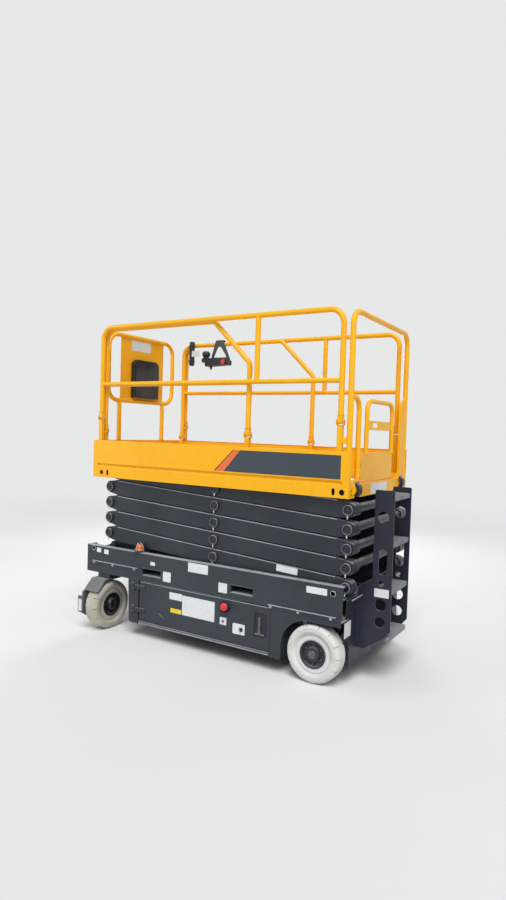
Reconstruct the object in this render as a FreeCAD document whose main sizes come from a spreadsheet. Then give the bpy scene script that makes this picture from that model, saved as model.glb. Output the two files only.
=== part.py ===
import FreeCAD, Part
import math
import os
import Sketcher

# Scissor lift, parked with its platform down and its front wheels turned.
# +X points to the steered end, +Y to the left side and +Z up; the origin is on the floor
# under the middle of the machine. All lengths are in millimetres, all angles in degrees.

doc = FreeCAD.newDocument("scissor_lift")
sheet = doc.addObject("Spreadsheet::Sheet", "sizes")
nodes = []


class Size:
    """A length or angle: its number, and the expression that gives it from the sheet."""

    def __init__(self, number, text):
        self.number = float(number)
        self.text = text

    def __add__(self, other):
        other = as_size(other)
        return Size(self.number + other.number, f"({self.text} + {other.text})")

    def __radd__(self, other):
        return as_size(other) + self

    def __sub__(self, other):
        other = as_size(other)
        return Size(self.number - other.number, f"({self.text} - {other.text})")

    def __rsub__(self, other):
        return as_size(other) - self

    def __mul__(self, other):
        other = as_size(other)
        return Size(self.number * other.number, f"({self.text} * {other.text})")

    def __rmul__(self, other):
        return as_size(other) * self

    def __truediv__(self, other):
        other = as_size(other)
        return Size(self.number / other.number, f"({self.text} / {other.text})")

    def __neg__(self):
        return Size(-self.number, f"(-1 * {self.text})")


def as_size(value):
    return value if isinstance(value, Size) else Size(value, f"({float(value):.6f})")


def sin_of(angle):
    return Size(math.sin(math.radians(angle.number)), f"sin({angle.text} * 1 deg)")


def cos_of(angle):
    return Size(math.cos(math.radians(angle.number)), f"cos({angle.text} * 1 deg)")


def asin_of(ratio):
    return Size(math.degrees(math.asin(ratio.number)), f"(asin({ratio.text}) / 1 deg)")


def slope_of(rise, run):
    """The angle of a line that rises so much over a run."""
    angle = math.degrees(math.atan2(rise.number, run.number))
    return Size(angle, f"(atan2({rise.text}; {run.text}) / 1 deg)")


def length_of(rise, run):
    """The length of a line that rises so much over a run."""
    return Size(math.hypot(rise.number, run.number), f"hypot({rise.text}; {run.text})")


def fill_row(alias, content, note):
    """One row of the sheet: what the size is, its content, and its alias."""
    row = 1 + len(rows)
    rows.append(alias)
    sheet.set(f"A{row}", note)
    sheet.set(f"B{row}", content)
    sheet.setAlias(f"B{row}", alias)


def cell(alias, number, note):
    """A size that is set by itself."""
    fill_row(alias, str(number), note)
    return Size(number, f"sizes.{alias}")


def derived(alias, size, note):
    """A size that is worked out from others."""
    fill_row(alias, "=" + size.text.replace("sizes.", ""), note)
    return Size(size.number, f"sizes.{alias}")


rows = []

# Running gear
rear_axle = cell("rear_axle", -810, "x of the rear axle")
wheelbase = cell("wheelbase", 1870, "rear axle to kingpins")
track_half = cell("track_half", 531.5, "middle plane to a wheel's middle")
tyre_radius = cell("tyre_radius", 190.5, "solid tyre, outside")
tyre_width = cell("tyre_width", 127, "solid tyre, width")
rim_radius = cell("rim_radius", 92, "rim, outside")
spindle_radius = cell("spindle_radius", 24, "wheel spindle")
kingpin_radius = cell("kingpin_radius", 30, "kingpin")
motor_face = cell("motor_face", 400, "middle plane to the wheel motors' mounting faces")
motor_radius = cell("motor_radius", 78, "wheel motor, outside")
left_lock = cell("left_lock", 90, "turn of the left front wheel")
right_lock = cell("right_lock", 60.5, "turn of the right front wheel")
yoke_gap = cell("yoke_gap", 13, "tyre to yoke")
yoke_sheet = cell("yoke_sheet", 11, "thickness of the yoke plate")
flap_start = cell("flap_start", 84, "kingpin to the bend of the yoke's flap")
flap_reach = cell("flap_reach", 80, "length of the yoke's flap in plan")
side_front = cell("side_front", 190, "kingpin to the front edge of the yoke's side plate")
side_rear = cell("side_rear", 150, "kingpin to the rear edge of the yoke's side plate")
ear_reach = cell("ear_reach", 46, "how far the yoke's ear stands out from its side plate")
running_gap = cell("running_gap", 0.3, "radial play of a pin, roller or seat")

# Chassis
chassis_rear = cell("chassis_rear", -1006, "x of the chassis's rear edge")
chassis_front = cell("chassis_front", 1240, "x of the chassis's front edge")
beam_face = cell("beam_face", 585, "middle plane to the beam's outer face")
beam_inner = cell("beam_inner", 470, "middle plane to the beam's inner face")
beam_base = cell("beam_base", 444, "underside of the beams")
beam_deck = cell("beam_deck", 575, "top of the beams' box behind the roller track")
beam_top = cell("beam_top", 660, "top of the beams' outer web")
beam_lip = cell("beam_lip", 48, "inward lip on the outer web")
beam_wall = cell("beam_wall", 8, "thickness of the beams' plates")
beam_step = cell("beam_step", -100, "x where the beams' box rises to the roller track")
front_sheet = cell("front_sheet", 10, "thickness of the front plate")
pocket_width = cell("pocket_width", 184, "fork pocket, along the machine")
pocket_height = cell("pocket_height", 55, "fork pocket, height")
pocket_base = cell("pocket_base", 490, "floor of the fork pockets")
pocket_front = cell("pocket_front", 466, "x of the front fork pocket's rear side")
pocket_rear = cell("pocket_rear", -347, "x of the rear fork pocket's rear side")
panel_sheet = cell("panel_sheet", 6, "thickness of the side panels")
panel_base = cell("panel_base", 103, "lower edge of the side panels")
tray_bay_rear = cell("tray_bay_rear", -490, "x of the tray bay's rear end")
tray_bay_front = cell("tray_bay_front", 684, "x of the tray bay's front end")
arch_radius = cell("arch_radius", 205, "rear wheel arch")
beacon_x = cell("beacon_x", 700, "x of the beacon")
beacon_radius = cell("beacon_radius", 32, "beacon, outside")
tie_radius = cell("tie_radius", 16, "tie-down hole")
tie_rear = cell("tie_rear", -939, "x of the rear tie-down hole")
tie_front = cell("tie_front", 1172, "x of the front tie-down hole")
tie_rear_height = cell("tie_rear_height", 608, "z of the rear tie-down hole")
tie_front_height = cell("tie_front_height", 636, "z of the front tie-down hole")

# Side trays and pothole guards
tray_base = cell("tray_base", 140, "underside of a tray")
tray_top = cell("tray_top", 438, "top of a tray's door")
tray_door_rear = cell("tray_door_rear", -486, "x of the door's rear edge")
tray_door_front = cell("tray_door_front", 670, "x of the door's front edge")
tray_box_rear = cell("tray_box_rear", -420, "x of the tray floor's rear end")
tray_box_front = cell("tray_box_front", 660, "x of the tray floor's front end")
tray_depth = cell("tray_depth", 350, "depth of a tray")
tray_sheet = cell("tray_sheet", 5, "thickness of a tray's plates")
hinge_x = cell("hinge_x", 727, "x of the tray's hinge pin")
hinge_out = cell("hinge_out", 9, "beam face to the hinge pin's axis")
hinge_low = cell("hinge_low", 218, "z of the tray's lower hinge")
hinge_high = cell("hinge_high", 394, "z of the tray's upper hinge")
hinge_pin = cell("hinge_pin", 4.5, "radius of a tray's hinge pin")
knuckle_radius = cell("knuckle_radius", 8.5, "knuckle of a tray's hinge strap, radius")
strap_half = cell("strap_half", 14, "half the height of a hinge strap")
battery_length = cell("battery_length", 262, "battery, along the machine")
battery_width = cell("battery_width", 190, "battery, across the machine")
battery_height = cell("battery_height", 250, "battery, height")
tank_length = cell("tank_length", 440, "tank and pump, along the machine")
tank_width = cell("tank_width", 240, "tank and pump, across the machine")
tank_height = cell("tank_height", 230, "tank and pump, height")
guard_height = cell("guard_height", 123.5, "z of the guard's hinge")
guard_half = cell("guard_half", 10.5, "half the guard's thickness")
guard_width = cell("guard_width", 100, "guard, from hinge to free edge")
guard_pin = cell("guard_pin", 5, "radius of the guard's hinge pins")

# Scissor stack
arm_length = cell("arm_length", 2061, "pin to pin of a scissor arm")
pin_x = cell("pin_x", -1000, "x of the rear pins")
pin_height = cell("pin_height", 644, "z of the lowest rear pin")
arm_depth = cell("arm_depth", 115, "height of an arm")
arm_gap = cell("arm_gap", 9, "air between two stacked arms at rest")
arm_end = cell("arm_end", 80, "height of an arm at its ends")
arm_taper = cell("arm_taper", 75, "length of an arm's tapered end")
arm_width = cell("arm_width", 50, "width of an arm across the machine")
outer_arm = cell("outer_arm", 475, "middle plane to an outer arm")
inner_arm = cell("inner_arm", 415, "middle plane to an inner arm")
pin_radius = cell("pin_radius", 25, "scissor pin")
boss_radius = cell("boss_radius", 32, "boss round a scissor pin")
boss_length = cell("boss_length", 18, "boss beside an arm")
cross_radius = cell("cross_radius", 30, "cross tube between the inner arms")
roller_radius = cell("roller_radius", 30, "roller at a sliding end")
roller_width = cell("roller_width", 28, "roller, width")
stage_rise = derived("stage_rise", arm_depth + arm_gap, "height of one stage at rest")
rest_angle = derived("rest_angle", asin_of(stage_rise / arm_length), "slope of the arms at rest")
top_pin = derived("top_pin", pin_height + 5 * stage_rise, "z of the platform's rear pins")

# Lift cylinder
foot_x = cell("foot_x", 900, "x of the cylinder's foot pin")
foot_height = cell("foot_height", 600, "z of the cylinder's foot pin")
eye_back = cell("eye_back", 300, "arm's middle to the rod's eye, along the arm")
eye_drop = cell("eye_drop", 85, "arm's line down to the rod's eye")
barrel_radius = cell("barrel_radius", 42, "lift cylinder's barrel")
barrel_bore = cell("barrel_bore", 33, "lift cylinder's bore, radius")
rod_radius = cell("rod_radius", 26, "lift cylinder's rod")
gland_gap = cell("gland_gap", 147, "gland's face to the rod's eye at rest")
foot_pin = cell("foot_pin", 20, "radius of the cylinder's pins")
eye_run = arm_length / 2 - eye_back
eye_x = pin_x + eye_run * cos_of(rest_angle) - eye_drop * sin_of(rest_angle)
eye_z = pin_height + stage_rise - eye_run * sin_of(rest_angle) - eye_drop * cos_of(rest_angle)
cylinder_rise = derived("cylinder_rise", slope_of(eye_z - foot_height, foot_x - eye_x),
                        "slope of the lift cylinder at rest")
cylinder_length = derived("cylinder_length", length_of(eye_z - foot_height, foot_x - eye_x),
                          "foot pin to the rod's eye at rest")
barrel_length = cylinder_length - gland_gap

# Platform
deck_rear = cell("deck_rear", -1016, "x of the platform's rear edge")
deck_front = cell("deck_front", 1210, "x of the platform's front edge")
deck_half = cell("deck_half", 573, "middle plane to the platform's side")
deck_base = derived("deck_base", top_pin - cell("deck_drop", 49, "platform's pins to its underside"),
                    "underside of the platform's side channel")
groove_base = deck_base + cell("groove_rise", 85, "platform's underside to the side groove")
groove_top = groove_base + cell("groove_width", 25, "height of the side groove")
groove_rear = cell("groove_rear", -958, "x of the groove's rear end")
groove_front = cell("groove_front", 1182, "x of the groove's front end")
groove_depth = cell("groove_depth", 11, "depth of the side groove")
skirt_top = deck_base + cell("skirt_rise", 297, "platform's underside to the top of the toe board")
skirt_lip = cell("skirt_lip", 8, "inward lip on the toe board")
deck_sheet = cell("deck_sheet", 5, "thickness of the platform's plates")
floor_height = deck_base + cell("floor_rise", 87, "platform's underside to the main floor")
ledge_height = deck_base + cell("ledge_rise", 118, "platform's underside to the top of the side ledges")
ledge_inner = cell("ledge_inner", 405, "middle plane to a side ledge")
rib_depth = cell("rib_depth", 50, "depth of the floor's cross channels")
rib_pitch = cell("rib_pitch", 350, "floor's cross channels, from one to the next")
deck_hole = cell("deck_hole", 19, "round holes in the platform's side, radius")
deck_slot = cell("deck_slot", 11, "slots in the platform's side, half width")
deck_hole_rise = cell("deck_hole_rise", 38, "platform's underside to the middle of its side holes")

# Extension deck
slide_rear = cell("slide_rear", -240, "x of the extension's rear edge")
slide_half = cell("slide_half", 528, "middle plane to the extension's toe board")
slide_sheet = cell("slide_sheet", 5, "thickness of the extension's plates")

# Guard rails
tube_radius = cell("tube_radius", 19, "rail tube")
bend_radius = cell("bend_radius", 95, "bend of a rail tube, on its centre line")
top_rail = deck_base + cell("top_rail_rise", 1199, "platform's underside to the top rails")
mid_rail = deck_base + cell("mid_rail_rise", 747, "platform's underside to the middle rails")
outer_rail = cell("outer_rail", 548, "middle plane to the outer side rails")
inner_rail = cell("inner_rail", 505, "middle plane to the extension's side rails")
rail_front = cell("rail_front", 1152, "x of the side rails' front posts")
rail_rear = cell("rail_rear", -934, "x of the outer side rails' rear posts")
short_post = cell("short_post", -303, "x of the outer rails' short post")
bent_post = cell("bent_post", -218, "x of the inner rails' bent post")
bent_elbow = deck_base + cell("elbow_rise", 882, "platform's underside to the bent post's elbow")
bent_top = cell("bent_top", 95, "x where the bent post meets the top rail")
inner_right_pivot = deck_base + cell("pivot_rise", 335, "platform's underside to the lowest rail hinge")
pivot_step = cell("pivot_step", 50, "rise from one rail's hinge to the next one's")
inner_left_pivot = inner_right_pivot + pivot_step
outer_right_pivot = inner_left_pivot + pivot_step
outer_left_pivot = outer_right_pivot + pivot_step
pivot_radius = cell("pivot_radius", 6, "rail hinge pin")
loop_x = cell("loop_x", 1221, "x of the front rail")
loop_half = cell("loop_half", 415, "half width of the front rail")
loop_low = deck_base + cell("loop_low_rise", 635, "platform's underside to the front rail's lower tube")
loop_high = deck_base + cell("loop_high_rise", 1190, "platform's underside to the front rail's upper tube")
loop_bend = cell("loop_bend", 110, "bend of the front rail")
loop_post = cell("loop_post", 280, "middle plane to the front rail's posts")
document_y = cell("document_y", -14.5, "y of the document box's middle")
document_half = cell("document_half", 162.5, "document box, half width")
document_height = cell("document_height", 332, "document box, height")

# Rear frame and gate
frame_half = cell("frame_half", 545, "middle plane to the rear frame's posts")
frame_top = deck_base + cell("frame_rise", 1190, "platform's underside to the rear frame's top tube")
jamb = cell("jamb", 400, "middle plane to the gate's hinge post")
jamb_top = deck_base + cell("jamb_rise", 645, "platform's underside to the hinge post's bend")
far_post_inner = cell("far_post_inner", 430, "middle plane to the flat far post")
gate_near = cell("gate_near", 255, "gate tube, hinge side")
gate_far = cell("gate_far", -250, "gate tube, latch side")
gate_top = deck_base + cell("gate_rise", 635, "platform's underside to the gate's top tube")
gate_radius = cell("gate_radius", 16, "gate tube")
kick_near = cell("kick_near", 364, "kick plate, hinge side")
kick_far = cell("kick_far", -268, "kick plate, latch side")
kick_base = floor_height + cell("kick_gap", 5, "main floor to the kick plate")
kick_top = kick_base + cell("kick_height", 195, "kick plate, height")
gate_pin = cell("gate_pin", 5, "radius of the gate's hinge pins")
gate_knuckle = cell("gate_knuckle", 44, "height of the gate's hinge knuckles")
gate_hinge_low = kick_base + cell("gate_hinge_rise", 43, "kick plate's lower edge to the lower knuckle")
gate_hinge_high = gate_hinge_low + cell("gate_hinge_pitch", 90, "lower to upper knuckle of the gate")

# Ladder
ladder_rear = cell("ladder_rear", -1240, "x of the ladder's rear edge")
ladder_front = cell("ladder_front", -1110, "x of the ladder's front edge")
ladder_left = cell("ladder_left", 350, "y of the left side plate's outer face")
ladder_right = cell("ladder_right", -6, "y of the right side plate's outer face")
ladder_top = deck_base + cell("ladder_rise", 53, "platform's underside to the top of the ladder")
ladder_sheet = cell("ladder_sheet", 8, "thickness of the side plates")
step_first = cell("step_first", 320, "z of the lowest step")
step_pitch = cell("step_pitch", 303, "rise from step to step")
step_count = 4
plate_hole = cell("plate_hole", 38, "large holes in the side plates, radius")
slot_half = cell("slot_half", 28, "slot in the side plates, half width")

# Control box
box_rear = cell("box_rear", 639, "x of the control box's rear end")
box_front = cell("box_front", 949, "x of the control box's front end")
box_top = top_rail - cell("box_hang", 74, "top rail to the top of the control box")
box_base = box_top - cell("box_height", 130, "control box, height")
box_shoulder = box_top - cell("box_step", 22, "drop in the control box's top under the joystick")
box_depth = cell("box_depth", 140, "control box, across the machine")
box_button = cell("box_button", 57, "box's rear end to its stop button")

doc.recompute()

front_axle = rear_axle + wheelbase
outer_face = outer_arm + arm_width
inner_face = inner_arm + arm_width
bore_radius = pin_radius + running_gap
roller_track = pin_height - roller_radius - running_gap
top_track = top_pin + roller_radius + running_gap


def bind(item, prop, value):
    """Set a property by an expression of the sheet's sizes."""
    item.setExpression(prop, as_size(value).text)


def place(item, x=0, y=0, z=0, axis=None, angle=0):
    """Put an item at a point, turned about an axis."""
    if axis is not None:
        turn = FreeCAD.Rotation(FreeCAD.Vector(*axis), as_size(angle).number)
        item.Placement = FreeCAD.Placement(FreeCAD.Vector(0, 0, 0), turn)
        if isinstance(angle, Size):
            item.setExpression("Placement.Rotation.Angle", f"{angle.text} * 1 deg")
    for key, value in (("x", x), ("y", y), ("z", z)):
        bind(item, f"Placement.Base.{key}", value)
    return item


def node(name, item):
    """Name a finished sub-part; its label is its file's name."""
    item.Label = name
    nodes.append(item)
    return item


def corner_cut(before, corner, after, radius):
    """Where a rounding of a corner starts and ends, and its centre."""
    to_before = (before - corner).normalize()
    to_after = (after - corner).normalize()
    half = to_before.getAngle(to_after) / 2
    reach = radius / math.tan(half)
    centre = corner + (to_before + to_after).normalize() * (radius / math.sin(half))
    return corner + to_before * reach, corner + to_after * reach, centre


def draw(sketch, corners, closed):
    """A line through corners (u, v) or (u, v, rounding radius), fixed by the sheet's sizes."""
    points = [FreeCAD.Vector(as_size(c[0]).number, as_size(c[1]).number, 0) for c in corners]
    count = len(points)
    entry = list(points)
    leave = list(points)
    centres = {}
    for index, corner in enumerate(corners):
        if len(corner) == 3:
            found = corner_cut(points[index - 1], points[index], points[(index + 1) % count],
                               as_size(corner[2]).number)
            entry[index], leave[index], centres[index] = found
    sides = count if closed else count - 1
    lines = []
    for index in range(sides):
        line = Part.LineSegment(leave[index], entry[(index + 1) % count])
        lines.append(sketch.addGeometry(line))
    for index, corner in enumerate(corners):
        before = lines[index - 1] if (closed or index > 0) else None
        after = lines[index] if index < sides else None
        if index in centres:
            spot = round_corner(sketch, entry[index], leave[index], centres[index],
                                points[index], before, after, corner[2])
        elif before is not None and after is not None:
            sketch.addConstraint(Sketcher.Constraint("Coincident", before, 2, after, 1))
            spot = (after, 1)
        else:
            spot = (before, 2) if after is None else (after, 1)
        for kind, value in (("DistanceX", corner[0]), ("DistanceY", corner[1])):
            pin_down(sketch, kind, spot, value)


def pin_down(sketch, kind, spot, value):
    """Hold a point at a distance from the sketch's origin."""
    value = as_size(value)
    rule = Sketcher.Constraint(kind, -1, 1, spot[0], spot[1], value.number)
    index = sketch.addConstraint(rule)
    sketch.setExpression(f"Constraints[{index}]", value.text)


def round_corner(sketch, start, end, centre, corner, before, after, radius):
    """A tangent arc between two lines, with its sharp corner kept as a point."""
    size = (start - centre).Length
    first = math.atan2(start.y - centre.y, start.x - centre.x)
    last = math.atan2(end.y - centre.y, end.x - centre.x)
    turn = (last - first) % (2 * math.pi)
    backwards = turn > math.pi
    if backwards:
        first, last = last, first
    circle = Part.Circle(centre, FreeCAD.Vector(0, 0, 1), size)
    arc = sketch.addGeometry(Part.ArcOfCircle(circle, first, last))
    arc_in, arc_out = (2, 1) if backwards else (1, 2)
    sketch.addConstraint(Sketcher.Constraint("Tangent", before, 2, arc, arc_in))
    sketch.addConstraint(Sketcher.Constraint("Tangent", after, 1, arc, arc_out))
    index = sketch.addConstraint(Sketcher.Constraint("Radius", arc, size))
    sketch.setExpression(f"Constraints[{index}]", as_size(radius).text)
    point = sketch.addGeometry(Part.Point(corner), True)
    sketch.addConstraint(Sketcher.Constraint("PointOnObject", point, 1, before))
    sketch.addConstraint(Sketcher.Constraint("PointOnObject", point, 1, after))
    return point, 1


def ring_in(sketch, u, v, radius):
    """A circle at (u, v)."""
    centre = FreeCAD.Vector(as_size(u).number, as_size(v).number, 0)
    circle = Part.Circle(centre, FreeCAD.Vector(0, 0, 1), as_size(radius).number)
    index = sketch.addGeometry(circle)
    pin_down(sketch, "DistanceX", (index, 3), u)
    pin_down(sketch, "DistanceY", (index, 3), v)
    rule = sketch.addConstraint(Sketcher.Constraint("Radius", index, as_size(radius).number))
    sketch.setExpression(f"Constraints[{rule}]", as_size(radius).text)


def sketch_on(body, plane, offset):
    """A sketch on one of the body's planes: XY seen from above, XZ from -Y, YZ from +X."""
    role = f"{plane}_Plane"
    support = [item for item in body.Origin.OriginFeatures if item.Role == role][0]
    sketch = body.newObject("Sketcher::SketchObject", f"{body.Name}_sketch")
    sketch.AttachmentSupport = (support, [""])
    sketch.MapMode = "FlatFace"
    bind(sketch, "AttachmentOffset.Base.z", offset)
    return sketch


def new_body(name):
    return doc.addObject("PartDesign::Body", name)


def pad(name, plane, start, end, corners, rings=(), cuts=()):
    """A plate or section: an outline with round and straight-sided holes, from start to end."""
    body = new_body(name)
    pad_in(body, plane, start, end, corners, rings, cuts)
    return body


def pad_in(body, plane, start, end, corners, rings=(), cuts=()):
    start, end = as_size(start), as_size(end)
    sketch = sketch_on(body, plane, -end if plane == "XZ" else start)
    draw(sketch, corners, True)
    for ring in rings:
        ring_in(sketch, *ring)
    for cut in cuts:
        draw(sketch, cut, True)
    solid = body.newObject("PartDesign::Pad", f"{body.Name}_pad")
    solid.Profile = sketch
    bind(solid, "Length", end - start)
    body.Tip = solid


def disc(name, plane, start, end, rings):
    """Round plates: outer circle first, then holes."""
    body = new_body(name)
    start, end = as_size(start), as_size(end)
    sketch = sketch_on(body, plane, -end if plane == "XZ" else start)
    for ring in rings:
        ring_in(sketch, *ring)
    solid = body.newObject("PartDesign::Pad", f"{body.Name}_pad")
    solid.Profile = sketch
    bind(solid, "Length", end - start)
    body.Tip = solid
    return body


def turned(name, plane, axis, corners):
    """A turned piece: a half section swept round the sketch's H or V axis."""
    body = new_body(name)
    sketch = sketch_on(body, plane, 0)
    draw(sketch, corners, True)
    solid = body.newObject("PartDesign::Revolution", f"{body.Name}_turn")
    solid.Profile = sketch
    solid.ReferenceAxis = (sketch, [f"{axis}_Axis"])
    solid.Angle = 360
    body.Tip = solid
    return body


def tube(name, plane, offset, corners, radius, closed=False):
    """A bent tube along a path in one plane."""
    body = new_body(name)
    path = sketch_on(body, plane, -as_size(offset) if plane == "XZ" else offset)
    draw(path, corners, closed)
    doc.recompute([path])
    section = body.newObject("Sketcher::SketchObject", f"{name}_section")
    section.AttachmentSupport = (path, ["Edge1"])
    section.MapMode = "NormalToEdge"
    doc.recompute([section])
    ring_in(section, 0, 0, radius)
    solid = body.newObject("PartDesign::AdditivePipe", f"{name}_pipe")
    solid.Profile = section
    solid.Spine = path
    body.Tip = solid
    return body


ALONG = {"X": ((0, 1, 0), 90), "Y": ((1, 0, 0), -90), "Z": None}


def rod(name, along, x, y, z, length, radius):
    """A straight round bar from a point, along +X, +Y or +Z."""
    item = doc.addObject("Part::Cylinder", name)
    bind(item, "Radius", radius)
    bind(item, "Height", length)
    if ALONG[along]:
        return place(item, x, y, z, *ALONG[along])
    return place(item, x, y, z)


def block(name, x, y, z):
    """A plain block between the two ends of each of x, y and z."""
    item = doc.addObject("Part::Box", name)
    for prop, ends in (("Length", x), ("Width", y), ("Height", z)):
        bind(item, prop, as_size(ends[1]) - ends[0])
    return place(item, x[0], y[0], z[0])


def fuse(name, pieces):
    item = doc.addObject("Part::MultiFuse", name)
    item.Shapes = pieces
    return item


def cut(name, base, tools):
    item = doc.addObject("Part::Cut", name)
    item.Base = base
    item.Tool = tools[0] if len(tools) == 1 else fuse(f"{name}_tools", tools)
    return item


def group(name, pieces):
    item = doc.addObject("Part::Compound", name)
    item.Links = pieces
    return item


def mirrored(name, source):
    """The same piece on the other side of the machine's middle plane."""
    item = doc.addObject("Part::Mirroring", name)
    item.Source = source
    item.Normal = FreeCAD.Vector(0, 1, 0)
    return item


def both(name, source):
    """A piece and its mirror image, as one sub-part."""
    return group(name, [source, mirrored(f"{name}_mirror", source)])


def span(side, near, far):
    """The two ends, in order, of a stretch from near to far on one side of the machine."""
    near, far = as_size(near), as_size(far)
    return (near, far) if side > 0 else (-far, -near)


def make_wheel(name, x, y, side, lock):
    """A solid tyre and its dished rim, at the origin of the wheel and then turned to its lock."""
    half = tyre_width / 2
    tyre = turned(f"{name}_ring", "YZ", "H", [
        (-half + 8, rim_radius), (half - 8, rim_radius), (half, rim_radius + 22, 8),
        (half, tyre_radius, 20), (-half, tyre_radius, 20), (-half, rim_radius + 22, 8)])
    edge = rim_radius - running_gap
    bore = spindle_radius + running_gap
    face = side * half
    rim = turned(f"{name}_disc", "YZ", "H", [
        (face - side * 10, edge), (face - side * 10, edge - 12), (face - side * 30, edge - 18),
        (face - side * 30, 52), (face - side * 8, 44), (face - side * 8, bore),
        (-face + side * 40, bore), (-face + side * 40, 50), (face - side * 48, 62),
        (-face + side * 30, edge - 14), (-face + side * 10, edge)])
    for part, piece in (("tyre", tyre), ("rim", rim)):
        place(piece, x, y, tyre_radius, (0, 0, 1), lock)
        node(f"{part}_{name}", piece)


def make_wheels():
    for side, word in ((1, "left"), (-1, "right")):
        lock = left_lock if side > 0 else right_lock
        make_wheel(f"front_{word}", front_axle, side * track_half, side, lock)
        make_wheel(f"rear_{word}", rear_axle, side * track_half, side, as_size(0))


def make_yoke(side, word, lock):
    """A steering yoke: a plate bent over the tyre, its slanted flap, spindle and kingpin."""
    half = tyre_width / 2
    top = tyre_radius * 2 + yoke_gap
    inner = half + yoke_gap
    back = inner + yoke_sheet
    skew = yoke_sheet * 0.7071
    crown = pad(f"yoke_crown_{word}", "XZ", *span(side, -back, half - 2), [
        (-flap_start, top), (flap_start, top), (flap_start + flap_reach, top - flap_reach),
        (flap_start + flap_reach + skew, top - flap_reach + skew), (flap_start + 0.4142 * yoke_sheet,
         top + yoke_sheet), (-flap_start, top + yoke_sheet)])
    side_plate = pad(f"yoke_side_{word}", "XZ", *span(side, -back, -inner), [
        (-flap_start, top + yoke_sheet), (-side_rear, tyre_radius + 110), (-side_rear, tyre_radius - 52),
        (-side_rear + 45, tyre_radius - 108, 20), (flap_start + 16, tyre_radius - 108, 20),
        (side_front, tyre_radius - 52), (side_front, tyre_radius + 119),
        (flap_start + flap_reach + skew, top - flap_reach + skew),
        (flap_start + 0.4142 * yoke_sheet, top + yoke_sheet)])
    ear = pad(f"yoke_ear_{word}", "YZ", side_front - 6, side_front, [
        (side * -(back - 1), tyre_radius - 52), (side * -(back + ear_reach), tyre_radius - 46, 4),
        (side * -(back + ear_reach), tyre_radius + 80, 4), (side * -(back - 1), tyre_radius + 86)])
    spindle = rod(f"spindle_{word}", "Y", 0, 0, tyre_radius, inner + 52, spindle_radius)
    place(spindle, 0, -side * (inner + 2) if side > 0 else -52 + 2, tyre_radius, (1, 0, 0), -90)
    flange = rod(f"spindle_flange_{word}", "Y", 0, 0, tyre_radius, 9, 46)
    place(flange, 0, *((-inner - 1,) if side > 0 else (inner - 8,)), tyre_radius, (1, 0, 0), -90)
    pin = rod(f"kingpin_{word}", "Z", 0, 0, top + yoke_sheet - 1, 36, kingpin_radius)
    washer = rod(f"thrust_ring_{word}", "Z", 0, 0, top + yoke_sheet - 1, 6.5, 46)
    shaped = fuse(f"yoke_solid_{word}", [crown, side_plate, ear, spindle, flange, pin, washer])
    place(shaped, front_axle, side * track_half, 0, (0, 0, 1), lock)
    node(f"yoke_{word}", shaped)


def make_beams():
    """The two box beams with their raised outer webs, and the fork pockets that join them."""
    web = beam_face - beam_wall
    lip = beam_face - beam_lip
    hole = beam_inner + beam_wall
    stretches = []
    for word, start, end, deck in (("rear", chassis_rear, beam_step, beam_deck),
                                   ("front", beam_step, chassis_front - front_sheet, roller_track)):
        section = [(beam_inner, beam_base), (beam_face, beam_base), (beam_face, beam_top),
                   (lip, beam_top), (lip, beam_top - beam_wall), (web, beam_top - beam_wall),
                   (web, deck), (beam_inner, deck)]
        inside = [(hole, beam_base + beam_wall), (web, beam_base + beam_wall),
                  (web, deck - beam_wall), (hole, deck - beam_wall)]
        stretches.append(pad(f"beam_{word}", "YZ", start, end, section, cuts=[inside]))
    low = pocket_base - beam_wall
    high = pocket_base + pocket_height + beam_wall
    pockets = []
    rooms = []
    for word, start in (("front", pocket_front), ("rear", pocket_rear)):
        end = start + pocket_width
        outside = [(start - beam_wall, low), (end + beam_wall, low), (end + beam_wall, high),
                   (start - beam_wall, high)]
        inside = [(start, pocket_base), (end, pocket_base), (end, pocket_base + pocket_height),
                  (start, pocket_base + pocket_height)]
        pockets.append(pad(f"pocket_{word}", "XZ", -beam_face, beam_face, outside, cuts=[inside]))
        rooms.append(block(f"pocket_room_{word}", (start - beam_wall, end + beam_wall),
                           (beam_inner - 1, beam_face + 1), (low, high)))
    for word, x, z in (("rear", tie_rear, tie_rear_height), ("front", tie_front, tie_front_height)):
        rooms.append(rod(f"tie_hole_{word}", "Y", x, web - 2, z, beam_wall + 4, tie_radius))
    left = cut("beam_cut", fuse("beam_pieces", stretches), rooms)
    node("beam_left", left)
    node("beam_right", mirrored("beam_mirror", left))
    node("fork_pockets", group("pocket_pair", pockets))


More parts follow.
